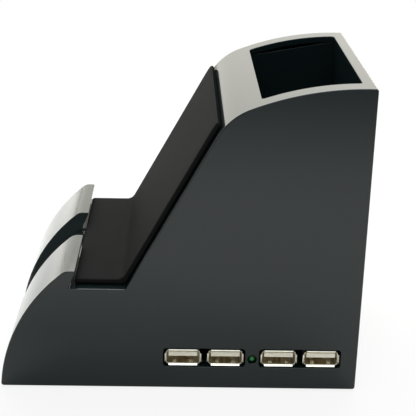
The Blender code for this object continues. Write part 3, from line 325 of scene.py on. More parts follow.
def front_y(height, inset=0.0):
    """Where the bowed front is at a height: c - sqrt((r - inset)^2 - rise^2)."""
    return FRONT_CENTRE[0] - math.sqrt((FRONT_RADIUS - inset) ** 2 - (height - FRONT_CENTRE[1]) ** 2)


def top_z(y, inset=0.0):
    """How high the bowed top is: c + sqrt((r - inset)^2 - (y - c)^2)."""
    return TOP_CENTRE[1] + np.sqrt((TOP_RADIUS - inset) ** 2 - (y - TOP_CENTRE[0]) ** 2)


def side_outline():
    """The housing's side outline as rows (y, z, ny, nz), clockwise from under its toe."""
    toe = np.array([front_y(STAND + CORNER_ROUND, CORNER_ROUND), STAND + CORNER_ROUND])
    nose = np.array([front_y(LIP_Z - LIP_ROUND, LIP_ROUND), LIP_Z - LIP_ROUND])
    start = heading(toe - FRONT_CENTRE) % math.tau
    meet = heading(nose - FRONT_CENTRE)
    top_meet = heading(SHOULDER_CENTRE - TOP_CENTRE)
    corner = np.array([REAR_Y - CORNER_ROUND, top_z(REAR_Y - CORNER_ROUND, CORNER_ROUND)])
    heel = np.array([REAR_Y - CORNER_ROUND, STAND + CORNER_ROUND])
    last = heading(corner - TOP_CENTRE)
    edge = np.array([LIP_Y, LIP_Z])
    foot = np.array([LIP_FOOT_Y, GROOVE_Z])
    slope_foot = fillet(foot, SLOPE_START, SLOPE_START + SLOPE_ALONG, GROOVE_ROUND, 10)
    shoulder = arc_run(SHOULDER_CENTRE, SHOULDER_RADIUS, SLOPE_OUT_ANGLE, top_meet, 44)
    runs = [
        arc_run(toe, CORNER_ROUND, -math.pi / 2, start - math.tau, 12),
        arc_run(FRONT_CENTRE, FRONT_RADIUS, start, meet, 90)[1:],
        arc_run(nose, LIP_ROUND, meet, math.pi / 2, 24)[1:],
        fillet(nose + (0, LIP_ROUND), edge, foot, LIP_EDGE_ROUND, 9),
        fillet(edge, foot, SLOPE_START, LIP_FOOT_ROUND, 6),
        slope_foot,
        straight_run(slope_foot[-1], shoulder[0], 12),
        shoulder,
        arc_run(TOP_CENTRE, TOP_RADIUS, top_meet, last, 34)[1:-1],
        arc_run(corner, CORNER_ROUND, last, 0, 12),
        arc_run(heel, CORNER_ROUND, 0, -math.pi / 2, 12),
    ]
    return np.vstack(runs)


def hollow_outline():
    """The inside of the housing seen from the side: its walls are even, and the lip stays solid."""
    low_z = STAND - OVERRUN

    def angle(height):
        return math.pi - math.asin((height - FRONT_CENTRE[1]) / (FRONT_RADIUS - WALL))

    corner = SLOPE_START + SLOPE_INTO * WALL
    bend = corner + SLOPE_ALONG * (GROOVE_Z - WALL - corner[1]) / SLOPE_ALONG[1]
    top_meet = heading(SHOULDER_CENTRE - TOP_CENTRE)
    rear = np.array([INNER_REAR_Y, low_z])
    last = math.acos((INNER_REAR_Y - TOP_CENTRE[0]) / (TOP_RADIUS - WALL))
    return np.vstack([
        arc_run(FRONT_CENTRE, FRONT_RADIUS - WALL, angle(low_z), angle(GROOVE_Z - WALL), 40),
        fillet(bend - (GROOVE_WIDTH, 0), bend, bend + SLOPE_ALONG, GROOVE_ROUND + WALL, 10),
        arc_run(SHOULDER_CENTRE, SHOULDER_RADIUS - WALL, SLOPE_OUT_ANGLE, top_meet, 20),
        arc_run(TOP_CENTRE, TOP_RADIUS - WALL, top_meet, last, 30)[1:],
        np.array([[*rear, 1, 0]]),
    ])[:, :2]


def ramp_y(height, grow=0.0):
    """Where the channel's sloping back is at a height, grown into the material."""
    low = np.array([FRONT_Y + CHANNEL_DEPTH, STAND])
    high = np.array([LIP_FOOT_Y - CHANNEL_SILL_AHEAD, GROOVE_Z - CHANNEL_SILL_DROP])
    along = (high - low) / np.linalg.norm(high - low)
    start = low + grow * np.array([along[1], -along[0]])
    return start[0] + along[0] * (height - start[1]) / along[1]


def channel_outline(grow=0.0):
    """The cable channel seen from the side, grown by a wall where grow is set."""
    low_z = STAND - OVERRUN
    sill_z = GROOVE_Z - CHANNEL_SILL_DROP - grow
    high_z = LIP_Z + OVERRUN
    ahead = FRONT_Y - OVERRUN
    ramp_low = np.array([ramp_y(low_z, grow), low_z])
    ramp_high = np.array([ramp_y(sill_z, grow), sill_z])
    sill_back = np.array([LIP_FOOT_Y + CHANNEL_SILL_BEHIND + grow, sill_z])
    return np.vstack([
        [[ahead, low_z]], [ramp_low], fillet(ramp_low, ramp_high, sill_back, CHANNEL_ROUND, 12)[:, :2],
        [sill_back], [[LIP_Y + OVERRUN, high_z]], [[ahead, high_z]],
    ])


def rounded_rectangle(low, high, radius, count=8):
    """Points round a rectangle with round corners, and their outward normals: each corner is the arc
    c + r (cos a, sin a) over a quarter turn."""
    low, high = np.asarray(low, float) + radius, np.asarray(high, float) - radius
    rays = directions((np.linspace(0, math.pi / 2, count) + np.arange(4)[:, None] * math.pi / 2).ravel())
    corners = np.array([high, (low[0], high[1]), low, (high[0], low[1])])
    return np.repeat(corners, count, axis=0) + radius * rays, rays


def ring_mesh(rings, looped=False):
    """A mesh of closed rings of points, joined ring to ring by quads and closed by a flat face at both
    ends, or with its last ring joined to its first."""
    if looped:
        rings = np.concatenate([rings, rings[:1]])
    rows, columns = rings.shape[:2]
    row, column = np.meshgrid(np.arange(rows - 1), np.arange(columns), indexing="ij")
    after = (column + 1) % columns
    quads = np.stack([row * columns + column, row * columns + after,
                      (row + 1) * columns + after, (row + 1) * columns + column], axis=-1)
    faces = quads.reshape(-1, 4).tolist()
    if not looped:
        faces.append(list(range(columns - 1, -1, -1)))
        faces.append(list(range((rows - 1) * columns, rows * columns)))
    mesh = bpy.data.meshes.new("rings")
    mesh.from_pydata(rings.reshape(-1, 3).tolist(), [], faces)
    return face_out(mesh)


def face_out(mesh):
    """Turns the faces of a closed mesh outwards."""
    work = bmesh.new()
    work.from_mesh(mesh)
    bmesh.ops.remove_doubles(work, verts=work.verts, dist=1e-7)
    bmesh.ops.dissolve_degenerate(work, edges=work.edges, dist=1e-7)
    bmesh.ops.recalc_face_normals(work, faces=work.faces)
    work.to_mesh(mesh)
    work.free()
    mesh.shade_smooth()
    return mesh


VIEWS = {"side": (2, 0, 1), "plan": (0, 1, 2), "front": (0, 2, 1)}


def stacked(flat, deep, view):
    """A mesh of flat rings (u, v), each at its depth, seen from the side, in plan or from the front."""
    deep = np.broadcast_to(deep[:, None, None], (*flat.shape[:2], 1))
    return ring_mesh(np.concatenate([flat, deep], axis=2)[..., list(VIEWS[view])])


def swept(outline, low, high, edge, view="side", steps=6):
    """An outline (u, v, nu, nv) carried from low to high: at each end the outline moves in by
    edge (1 - cos a) while it goes on by edge sin a, and a narrow flat ring leads to the flat end face."""
    angle = np.linspace(0, math.pi / 2, steps + 1)
    inset = np.append(edge * (1 - np.cos(angle)), edge + FLAT_RING)
    reach = np.append(edge * np.sin(angle), edge)
    inset = np.concatenate([inset[::-1], inset])
    deep = np.concatenate([low + edge - reach[::-1], high - edge + reach])
    return stacked(outline[None, :, :2] - inset[:, None, None] * outline[None, :, 2:], deep, view)


def prism(outline, low, high, view="side"):
    """A flat outline carried straight from low to high: along x seen from the side, along z in plan,
    along y seen from the front."""
    return stacked(np.broadcast_to(outline, (2, *outline.shape)), np.array([low, high], float), view)


def turned(profile, facets=48):
    """A profile (radius, height) turned round z: (r cos a, r sin a, h)."""
    radius, height = np.asarray(profile, float).T
    ray = directions(np.linspace(0, math.tau, facets, endpoint=False))
    return stacked(radius[:, None, None] * ray, height, "plan")


def linked(name, data):
    """A new object of some data, linked to the scene."""
    item = bpy.data.objects.new(name, data)
    bpy.context.scene.collection.objects.link(item)
    return item


def add_piece(name, mesh, material):
    """An object of a mesh with one material, at the origin."""
    mesh.name = name
    mesh.materials.clear()
    mesh.materials.append(material)
    return linked(name, mesh)


def settled(item):
    """Applies an object's modifiers and removes them."""
    graph = bpy.context.evaluated_depsgraph_get()
    graph.update()
    mesh = bpy.data.meshes.new_from_object(item.evaluated_get(graph))
    item.modifiers.clear()
    item.data = mesh


def carve(item, cutters, operation="DIFFERENCE"):
    """Cuts closed meshes out of an object, or joins them to it. A cut face keeps the material number 1."""
    marker = bpy.data.materials.get("cut_face") or bpy.data.materials.new("cut_face")
    for index, mesh in enumerate(cutters):
        tool = linked(f"{item.name}_tool_{index}", mesh)
        mesh.materials.clear()
        mesh.materials.append(item.data.materials[0])
        mesh.materials.append(marker)
        mesh.polygons.foreach_set("material_index", np.ones(len(mesh.polygons), np.int32))
        if len(item.data.materials) < 2:
            item.data.materials.append(marker)
        modifier = item.modifiers.new("carve", "BOOLEAN")
        modifier.operation = operation
        modifier.solver = "EXACT"
        modifier.object = tool
        settled(item)
        bpy.data.objects.remove(tool, do_unlink=True)


def one_material(item):
    """Gives all faces the object's first material."""
    mesh = item.data
    mesh.polygons.foreach_set("material_index", np.zeros(len(mesh.polygons), np.int32))
    while len(mesh.materials) > 1:
        mesh.materials.pop()


def read(items, name, kind=np.int32, width=1):
    """One property of every face or loop, as an array."""
    values = np.zeros(len(items) * width, kind)
    items.foreach_get(name, values)
    return values.reshape(-1, width) if width > 1 else values


def round_cuts(item, width, segments=3):
    """Rounds each sharp edge between a cut face and the skin, then makes all faces one material."""
    mesh = item.data
    index = read(mesh.polygons, "material_index")
    normal = read(mesh.polygons, "normal", float, 3)
    face_of = np.repeat(np.arange(len(index)), read(mesh.polygons, "loop_total"))
    order = np.argsort(read(mesh.loops, "edge_index"), kind="stable")
    pairs = face_of[order].reshape(-1, 2)
    seam = index[pairs[:, 0]] != index[pairs[:, 1]]
    sharp = np.einsum("ij,ij->i", normal[pairs[:, 0]], normal[pairs[:, 1]]) < math.cos(math.radians(25))
    weight = mesh.attributes.new("bevel_weight_edge", "FLOAT", "EDGE")
    weight.data.foreach_set("value", (seam & sharp).astype(np.float32))
    one_material(item)
    bevel = item.modifiers.new("cut edges", "BEVEL")
    bevel.limit_method = "WEIGHT"
    bevel.width = width
    bevel.segments = segments
    bevel.use_clamp_overlap = False
    bevel.miter_outer = "MITER_ARC"
    settled(item)


def even_normals(item, angle):
    """Lets the large flat faces keep their own normal, so that only the rounded edges shade round."""
    item.data.shade_smooth()
    item.data.set_sharp_from_angle(angle=math.radians(angle))
    weighted = item.modifiers.new("even normals", "WEIGHTED_NORMAL")
    weighted.keep_sharp = True
    weighted.weight = 90
    settled(item)


def dress(item, slot, *nodes, angle=40):
    """Finishes a piece: edges sharper than an angle in degrees stay sharp. It rides on the holder and stands
    for CAD nodes. Its slot argument is not used."""
    one_material(item)
    even_normals(item, angle)
    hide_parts(*nodes)
    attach(item, "root")


def bar(u, v, radius, low, high, view="plan", facets=48):
    """A round bar: (u + r cos a, v + r sin a) carried from low to high."""
    ray = directions(np.linspace(0, math.tau, facets, endpoint=False))
    return prism(np.array([u, v]) + radius * ray, low, high, view)


def bars(*rows):
    """Upright round bars, from rows (places, radius, low, high)."""
    return [bar(x, y, radius, low, high) for places, radius, low, high in rows for x, y in places]


def make_housing(material):
    """The housing: the side outline carried across the width, hollowed, with the channel, the cup's
    mouth, the sockets' slots, the power light's hole and the inlet's opening cut out of it."""
    item = add_piece("gloss_housing", swept(side_outline(), -SIDE_X, SIDE_X, SIDE_EDGE), material)
    core = add_piece("hollow_core", prism(hollow_outline(), -INNER_X, INNER_X), material)
    reach = CHANNEL_X + WALL
    carve(core, [prism(channel_outline(WALL), -reach, reach)])
    mouth, _ = rounded_rectangle((-CUP_X, CUP_FRONT_Y), (CUP_X, CUP_REAR_Y), CUP_CORNER)
    cutters = [prism(channel_outline(), -CHANNEL_X, CHANNEL_X), core.data,
               prism(mouth, MOUTH_CUT_Z, STAND + HEIGHT + OVERRUN, "plan")]
    half = SHELL_WIDTH / 2 + SHELL_FLARE + SLOT_CLEARANCE
    rise = SHELL_HEIGHT / 2 + SHELL_FLARE + SLOT_CLEARANCE
    low, high = INNER_X - OVERRUN, SIDE_X + OVERRUN
    for first, second in (SOCKET_YS[:2], SOCKET_YS[2:]):
        slot, _ = rounded_rectangle((first - half, SOCKET_Z - rise), (second + half, SOCKET_Z + rise),
                                    SLOT_CORNER)
        cutters.append(prism(slot, low, high))
    cutters.append(bar(GROUP_Y, LIGHT_Z, LIGHT_RADIUS + FIT_GAP, low, high, "side"))
    gap = INLET_SLOT_CLEARANCE
    inlet, _ = rounded_rectangle((INLET_LOW[0] - gap, INLET_LOW[2] - gap),
                                 (INLET_HIGH[0] + gap, INLET_HIGH[2] + gap), INLET_SLOT_CORNER)
    cutters.append(prism(inlet, INNER_REAR_Y - OVERRUN, REAR_Y + OVERRUN, "front"))
    carve(item, cutters)
    bpy.data.objects.remove(core, do_unlink=True)
    round_cuts(item, CUT_EDGE)
    top = BOSS_LOW_Z + BOSS_LENGTH
    half = BOSS_RIB / 2
    solids = []
    for x, y in BOSS_PLACES:
        wall = math.copysign(INNER_X + BOSS_BITE, x)
        if y < 0:
            rib = (min(x, wall), y - half, max(x, wall), y + half)
        else:
            rib = (x - half, y, x + half, INNER_REAR_Y + BOSS_BITE)
        corners = np.array([rib[:2], (rib[2], rib[1]), rib[2:], (rib[0], rib[3])])
        solids += [prism(corners, BOSS_LOW_Z, top, "plan"), bar(x, y, BOSS_RADIUS, BOSS_LOW_Z, top)]
    carve(item, solids, "UNION")
    carve(item, bars((BOSS_PLACES, SCREW_HOLE_RADIUS, BOSS_LOW_Z - OVERRUN, BOSS_LOW_Z + SCREW_LENGTH)))
    dress(item, "gloss_black_plastic", "housing")


def make_cup(material):
    """The pen cup: rings of the cup's round-cornered plan, carried from the middle of its floor over a
    fillet, up the inner wall, over the rim and down the outer wall. The rim follows the bowed top."""
    points, rays = rounded_rectangle((-CUP_X, CUP_FRONT_Y), (CUP_X, CUP_REAR_Y), CUP_CORNER)
    rings = []

    def ring(grow, height):
        rings.append(np.column_stack([points + grow * rays, np.broadcast_to(height, len(points))]))

    def rim(grow, turn):
        y = (points + grow * rays)[:, 1]
        ring(grow, top_z(y, WALL + FIT_GAP) - CUP_RIM_ROUND * (1 - math.sin(turn)))

    wall_z = CUP_FLOOR_Z + CUP_FILLET
    base_z = CUP_FLOOR_Z - CUP_FLOOR
    bend = np.linspace(0, math.pi / 2, 7)
    for turn in bend:
        ring(CUP_SET_BACK - CUP_FILLET * (1 - math.sin(turn)), wall_z - CUP_FILLET * math.cos(turn))
    for share in np.linspace(0, 1, 12)[1:-1]:
        ring(CUP_SET_BACK, wall_z + share * (CUP_STRAIGHT_TOP_Z - wall_z))
    for turn in bend:
        rim(CUP_SET_BACK + CUP_RIM_ROUND * (1 - math.cos(turn)), turn)
    for turn in bend[::-1]:
        rim(CUP_WALL - CUP_RIM_ROUND * (1 - math.cos(turn)), turn)
    for turn in bend:
        ring(CUP_WALL - CUP_RIM_ROUND * (1 - math.cos(turn)), base_z + CUP_RIM_ROUND * (1 - math.sin(turn)))
    item = add_piece("cup_liner", ring_mesh(np.array(rings)), material)
    carve(item, bars((POST_PLACES, CUP_BOSS_RADIUS, CUP_BOSS_Z, base_z + CUP_FLOOR / 2)), "UNION")
    carve(item, bars((POST_PLACES, SCREW_HOLE_RADIUS, CUP_BOSS_Z - OVERRUN, base_z)))
    dress(item, "gloss_black_plastic", "pen_cup")


def mat_face(lift, radius):
    """One face of the mat seen from the side: along the groove's floor, round the bend, up the slope and
    onto the shoulder."""
    start = np.array([LIP_FOOT_Y + MAT_LIP_GAP, GROOVE_Z + lift])
    along = SLOPE_START - SLOPE_INTO * lift
    bend = along + SLOPE_ALONG * (start[1] - along[1]) / SLOPE_ALONG[1]
    corner = fillet(start, bend, bend + SLOPE_ALONG, radius, 12)[:, :2]
    end = arc_run(SHOULDER_CENTRE, SHOULDER_RADIUS + lift, SLOPE_OUT_ANGLE, SLOPE_OUT_ANGLE - MAT_TOP_ARC,
                  8)[:, :2]
    floor = start + np.linspace(0, 1, 10)[:-1, None] * (corner[0] - start)
    slope = corner[-1] + np.linspace(0, 1, 26)[1:-1, None] * (end[0] - corner[-1])
    return np.vstack([floor, corner, slope, end])


def make_mat(material):
    """The mat: a strip with round edges carried along its two faces. Its section is a rectangle of the
    mat's width and thickness with quarter-round corners, and it shrinks over a quarter round at both ends."""
    under, over = mat_face(FIT_GAP, GROOVE_ROUND), mat_face(FIT_GAP + MAT_THICKNESS, MAT_CORNER)
    thick = np.linalg.norm(over - under, axis=1)
    up = (over - under) / thick[:, None]
    steps = 6
    angle = np.linspace(0, math.pi / 2, steps)
    cos, sin = np.cos(angle), np.sin(angle)
    middle = np.zeros(len(under) - 2)
    inset = MAT_EDGE * np.concatenate([1 - sin, middle, 1 - sin[::-1]])
    ahead = MAT_EDGE * np.concatenate([1 - cos, middle, cos[::-1] - 1])
    index = np.concatenate([np.zeros(steps, int), np.arange(1, len(under) - 1),
                            np.full(steps, len(under) - 1)])
    under, up, thick = under[index], up[index], thick[index]
    forward = np.stack([up[:, 1], -up[:, 0]], axis=1)
    corner_x = np.repeat([1, -1, -1, 1], steps)
    corner_z = np.repeat([1, 1, -1, -1], steps)
    side = MAT_EDGE * np.concatenate([cos, -sin, -cos, sin])
    lift = MAT_EDGE * np.concatenate([sin, cos, -sin, -cos])
    reach = SIDE_X - MAT_SIDE_INSET - MAT_EDGE
    x = corner_x * reach + side - corner_x * inset[:, None]
    edge = MAT_EDGE + inset[:, None]
    height = np.where(corner_z > 0, thick[:, None] - edge, edge) + lift
    flat = (under + forward * ahead[:, None])[:, None, :] + up[:, None, :] * height[:, :, None]
    rings = np.concatenate([x[:, :, None], flat], axis=2)
    item = add_piece("rubber_mat", ring_mesh(rings), material)
    dress(item, "black_rubber", "cradle_mat", angle=60)


def strip(path, thickness, half_widths, place):
    """A bent metal strip: a section with cut-off corners, carried along a path (depth, rise). Its width
    runs across, and place turns (depth, rise, across) rows into the part's frame."""
    path = np.asarray(path, float)
    along = np.gradient(path, axis=0)
    along /= np.linalg.norm(along, axis=1)[:, None]
    out = np.stack([-along[:, 1], along[:, 0]], axis=1)
    chamfer = thickness * 0.25
    half = thickness / 2
    low = half - chamfer
    rise = np.array([half, half, low, -low, -half, -half, -low, low])
    ends = np.array([-1, 1, 1, 1, 1, -1, -1, -1])
    back = np.array([1, 1, 0, 0, 1, 1, 0, 0]) * chamfer
    across = ends * (np.asarray(half_widths)[:, None] - back)
    flat = path[:, None, :] + out[:, None, :] * rise[:, None]
    return place(np.concatenate([flat, across[:, :, None]], axis=2))


def shell_tube(width, height, bend, metal, front, rear):
    """A folded tube of sheet metal along x: a round-cornered rectangle and the same inset by the metal."""
    rings = []
    points, rays = rounded_rectangle((-width / 2, -height / 2), (width / 2, height / 2), bend, 7)
    soft = metal * 0.3
    deep = metal - soft
    for inset, x in ((soft, front), (0, front - soft), (0, rear + soft), (soft, rear), (deep, rear),
                     (metal, rear + soft), (metal, front - soft), (deep, front)):
        rings.append(np.column_stack([np.full(len(points), x), points - inset * rays]))
    return np.array(rings)


def join_shapes(tube, solids):
    """One mesh of a folded tube and of several solid shapes, each given by its rings."""
    work = bmesh.new()
    for rings in [tube, *solids]:
        mesh = ring_mesh(rings, looped=rings is tube)
        work.from_mesh(mesh)
        bpy.data.meshes.remove(mesh)
    mesh = bpy.data.meshes.new("joined")
    work.to_mesh(mesh)
    work.free()
    mesh.shade_smooth()
    return mesh


def socket_shell():
    """A socket's shell, mouth at x = 0 and facing +X: a folded tube, four flared lips with open corners,
    two legs and two leaf springs that bow up from its floor by b sin(pi t)."""
    metal = SHELL_METAL
    front = -FLARE_DEPTH
    tube = shell_tube(SHELL_WIDTH, SHELL_HEIGHT, SHELL_BEND, metal, front, -SHELL_LENGTH)
    strips = []
    share = np.linspace(0, 1, 8)
    out = SHELL_FLARE + FLARE_EXTRA - metal / 2
    depth = np.concatenate([[front - FLARE_ROOT], front + (FLARE_DEPTH - FLARE_SETBACK) * share])
    rise = np.concatenate([[0], out * share]) - metal / 2
    taper = np.linspace(0, FLARE_TAPER, len(depth))
    half_z, half_y = SHELL_HEIGHT / 2, SHELL_WIDTH / 2
    lips = ((half_z, half_y, lambda row: row[..., [0, 2, 1]]),
            (half_z, half_y, lambda row: row[..., [0, 2, 1]] * (1, 1, -1)),
            (half_y, half_z, lambda row: row), (half_y, half_z, lambda row: row * (1, -1, 1)))
    for reach, half, place in lips:
        path = np.column_stack([depth, reach + rise])
        strips.append(strip(path, metal * 0.8, half - SHELL_BEND - taper, place))
    crest = np.linspace(0, 1, 14)
    spring = np.column_stack([-SPRING_SETBACK - SPRING_LENGTH * crest,
                              -half_z + metal + SPRING_BOW * np.sin(math.pi * crest) - metal / 2])
    drop = np.linspace(0, -half_z - LEG_DROP, 6)
    for side in (-1, 1):
        strips.append(strip(spring, metal * 0.8, np.full(len(crest), SPRING_HALF_WIDTH),
                            lambda row, y=side * SPRING_SPREAD / 2: row[..., [0, 2, 1]] + (0, y, 0)))
        leg = np.column_stack([np.full(len(drop), side * (half_y - metal / 2)), drop])
        strips.append(strip(leg, metal * 0.9, np.full(len(drop), LEG_HALF_WIDTH),
                            lambda row: row[..., [2, 0, 1]] - (LEG_SETBACK, 0, 0)))
    return join_shapes(tube, strips)


def moved(mesh, place):
    """A copy of a mesh moved to a place."""
    copy = mesh.copy()
    copy.transform(Matrix.Translation(place))
    return copy


def make_sockets(material):
    """Four shells, each moved to its socket's place. Their floors are open at the rear."""
    shell = add_piece("shell_blank", socket_shell(), material)
    inside = SHELL_WIDTH / 2 - SHELL_METAL - FIT_GAP
    floor = -SHELL_HEIGHT / 2
    rear, front = -SHELL_LENGTH - OVERRUN, FLOOR_OPENING - SHELL_LENGTH
    opening = np.array([(rear, -inside), (front, -inside), (front, inside), (rear, inside)])
    carve(shell, [prism(opening, floor - OVERRUN, floor + SHELL_METAL + FIT_GAP, "plan")])
    for number, y in enumerate(SOCKET_YS, start=1):
        item = add_piece(f"plated_shell_{number}", moved(shell.data, (SIDE_X, y, SOCKET_Z)), material)
        dress(item, "nickel_plated_steel", f"socket_{number}_shell", angle=50)
    bpy.data.objects.remove(shell, do_unlink=True)


def make_inlet(material):
    """The inlet's shell: a folded tube that faces +Y, closed at its back."""
    low, high = np.array(INLET_LOW), np.array(INLET_HIGH)
    width, length, height = high - low
    tube = shell_tube(width, height, INLET_BEND, SHELL_METAL, 0.0, -length)
    corner = np.array([width, height]) / 2 - INLET_BACK_INSET
    inner, _ = rounded_rectangle(-corner, corner, INLET_BACK_CORNER, 7)
    back = np.stack([np.column_stack([np.full(len(inner), x - length), inner]) for x in (0.0, SHELL_METAL)])
    mesh = join_shapes(tube, [back])
    mesh.transform(Matrix.Translation(((low[0] + high[0]) / 2, high[1], (low[2] + high[2]) / 2))
                   @ Matrix.Rotation(math.pi / 2, 4, "Z"))
    dress(add_piece("inlet_tube", mesh, material), "nickel_plated_steel", "inlet_shell", angle=50)


def make_light(material):
    """The power light's lens: a dome (r sin a, tip - r (1 - cos a)) on a short stem with a flange, turned
    about x."""
    front = INNER_X - FIT_GAP
    tip = SIDE_X - LIGHT_RECESS
    turn = np.linspace(0, math.pi / 2, 16)[1:]
    dome = np.column_stack([LIGHT_RADIUS * np.sin(turn), tip - LIGHT_RADIUS * (1 - np.cos(turn))])
    stem = [(LIGHT_RADIUS, front), (LIGHT_FLANGE_RADIUS, front),
            (LIGHT_FLANGE_RADIUS, front - LIGHT_FLANGE_LENGTH)]
    mesh = turned(np.vstack([dome, stem]))
    mesh.transform(Matrix.Translation((0, GROUP_Y, LIGHT_Z)) @ Matrix.Rotation(math.pi / 2, 4, "Y"))
    dress(add_piece("green_lens", mesh, material), "green_lens", "power_light", angle=35)


def cover_outline():
    """The bottom cover's outline (x, y, nx, ny) in plan, with a notch round the cable channel."""
    side = INNER_X - COVER_GAP
    front = front_y(COVER_TOP_Z, WALL) + COVER_GAP
    rear = INNER_REAR_Y - COVER_GAP
    notch_x = CHANNEL_X + WALL + COVER_GAP
    notch_y = ramp_y(COVER_TOP_Z, WALL) + COVER_GAP
    corners = [(-side, front), (-side, rear), (side, rear), (side, front), (notch_x, front),
               (notch_x, notch_y), (-notch_x, notch_y), (-notch_x, front)]
    return np.vstack([fillet(corners[index - 1], corner, corners[(index + 1) % len(corners)], COVER_CORNER, 8)
                      for index, corner in enumerate(corners)])


def screw_spots(kind, count):
    """The screws of one kind as (name, x, y, low z, high z), from the boxes of their CAD nodes."""
    boxes = {name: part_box(name) for name in (f"{kind}_screw_{number}" for number in range(1, count + 1))}
    return [(name, (low.x + high.x) / 2, (low.y + high.y) / 2, low.z, high.z)
            for name, (low, high) in boxes.items()]


def make_cover(material):
    """The bottom cover: a plate with round edges, its pads, posts and standoffs, and all their holes."""
    plate = swept(cover_outline(), COVER_LOW_Z, COVER_TOP_Z, COVER_EDGE, "plan")
    item = add_piece("base_cover", plate, material)
    board = [spot[1:3] for spot in screw_spots("board", 4)]
    bite = (COVER_LOW_Z + COVER_TOP_Z) / 2
    low = COVER_LOW_Z - OVERRUN
    carve(item, bars((BOSS_PLACES, PAD_RADIUS, bite, PAD_TOP_Z),
                     (POST_PLACES, POST_RADIUS, bite, CUP_BOSS_Z - FIT_GAP),
                     (board, STANDOFF_RADIUS, bite, STANDOFF_TOP_Z)), "UNION")
    one_material(item)
    carve(item, bars((BOSS_PLACES, HEAD_HOLE_RADIUS, low, COVER_LOW_Z + SCREW_SEAT_DEPTH),
                     (POST_PLACES, HEAD_HOLE_RADIUS, low, POST_SEAT_Z),
                     (POST_PLACES, SCREW_HOLE_RADIUS, low, CUP_BOSS_Z + OVERRUN),
                     (BOSS_PLACES, SCREW_HOLE_RADIUS, low, PAD_TOP_Z + OVERRUN),
                     (board, BOARD_HOLE_RADIUS, COVER_TOP_Z, STANDOFF_TOP_Z + OVERRUN),
                     (FOOT_PLACES.values(), FOOT_RADIUS + FIT_GAP, low, COVER_LOW_Z + FOOT_RECESS)))
    round_cuts(item, COVER_CUT_EDGE, 2)
    dress(item, "satin_black_plastic", "bottom_cover")


def make_feet(material):
    """Four rubber feet, turned, with a round lower edge."""
    top = COVER_LOW_Z + FOOT_RECESS - FIT_GAP
    turn = np.linspace(0, math.pi / 2, 8)
    rim = np.column_stack([FOOT_RADIUS - FOOT_EDGE * (1 - np.sin(turn)), FOOT_EDGE * (1 - np.cos(turn))])
    foot = turned(np.vstack([rim, [(FOOT_RADIUS, top)]]), 64)
    for name, (x, y) in FOOT_PLACES.items():
        item = add_piece(f"rubber_{name}", moved(foot, (x, y, 0)), material)
        dress(item, "black_rubber", name, angle=50)


def screw_head(radius, height, shaft, length):
    """A pan head screw that points up. Its head is z = -h (1 - 0.96 (r/R)^4)^(1/2) with a cross sunk in it:
    the cross is deepest where the smaller of |x| and |y| is under a tenth of R, the head's radius."""
    columns = 72
    angle = np.linspace(0, math.tau, columns, endpoint=False)
    share = np.linspace(0.02, 1, 34)
    x = share[:, None] * radius * np.cos(angle)
    y = share[:, None] * radius * np.sin(angle)
    narrow, wide = np.minimum(abs(x), abs(y)), np.maximum(abs(x), abs(y))
    across = np.clip((0.15 * radius - narrow) / (0.05 * radius), 0, 1)
    reach = np.clip((0.62 * radius - wide) / (0.12 * radius), 0, 1)
    sunk = 0.6 * height * across * reach
    z = -height * np.sqrt(1 - 0.96 * share[:, None] ** 4) + sunk
    head = np.stack([x, y, z], axis=-1)
    stem = np.array([(radius, 0.0), (shaft, 0.0), (shaft, length - SCREW_TIP), (shaft / 2, length)])
    rings = np.stack([stem[:, :1] * np.cos(angle), stem[:, :1] * np.sin(angle),
                      np.broadcast_to(stem[:, 1:], (4, columns))], axis=-1)
    return ring_mesh(np.concatenate([head, rings]))


def make_screws(material):
    """The screws of the cover, the cup and the board, each at its CAD node's place."""
    large, small = screw_head(*LARGE_SCREW), screw_head(*SMALL_SCREW)
    small.transform(Matrix.Rotation(math.pi, 4, "X"))
    spots = [(name, large, (x, y, low + LARGE_SCREW[1]))
             for name, x, y, low, _ in screw_spots("cover", 4) + screw_spots("cup", 2)]
    spots += [(name, small, (x, y, high - SMALL_SCREW[1])) for name, x, y, _, high in screw_spots("board", 4)]
    for name, mesh, place in spots:
        dress(add_piece(f"plated_{name}", moved(mesh, place), material), "zinc_plated_steel", name)


def make_gloss():
    """Injection moulded ABS from a polished mould: nearly black, with a clear mirror-like gloss that the
    faint unevenness of the moulding softens. The cable channel's side walls get a lighter slate grey tone:
    painted light that stands in for the light they catch."""
    material, tree, shader, place, tint = mottled("polished_abs", 1800.0, 2.0, "#131c1e", "#162021", IOR=1.52)
    swell = add_node(tree, "TexNoise", {"Vector": place, "Scale": 55.0, "Detail": 2.0})
    rough = add_node(tree, "MapRange", {"Value": (swell, "Fac"), "From Min": 0.3, "From Max": 0.7,
                                        "To Min": 0.09, "To Max": 0.13})
    bump = add_node(tree, "Bump", {"Strength": 0.04, "Distance": 0.00005, "Height": (swell, "Fac")})
    # Painted light: the channel's side walls, in front of the lip, get a lighter tone that stands in for the
    # light they catch.
    spot = add_node(tree, "SeparateXYZ", {"Vector": place})
    across = add_node(tree, "Math", {0: (spot, "X")}, operation="ABSOLUTE")
    walls = add_node(tree, "Math", {0: (across, "Value"), 1: CHANNEL_X, 2: CUT_EDGE / 3}, operation="COMPARE")
    ahead = add_node(tree, "Math", {0: (spot, "Y"), 1: LIP_Y}, operation="LESS_THAN")
    painted_light_mask = add_node(tree, "Math", {0: (walls, "Value"), 1: (ahead, "Value")}, operation="MULTIPLY")
    painted_light_colour = add_node(tree, "Mix", {"Factor": (painted_light_mask, "Value"), 6: (tint, 2), 7: linear("#2c3334")},
                     data_type="RGBA")
    plug(tree, shader, {"Base Color": (painted_light_colour, 2), "Roughness": (rough, "Result"), "Normal": (bump, "Normal")})
    return material


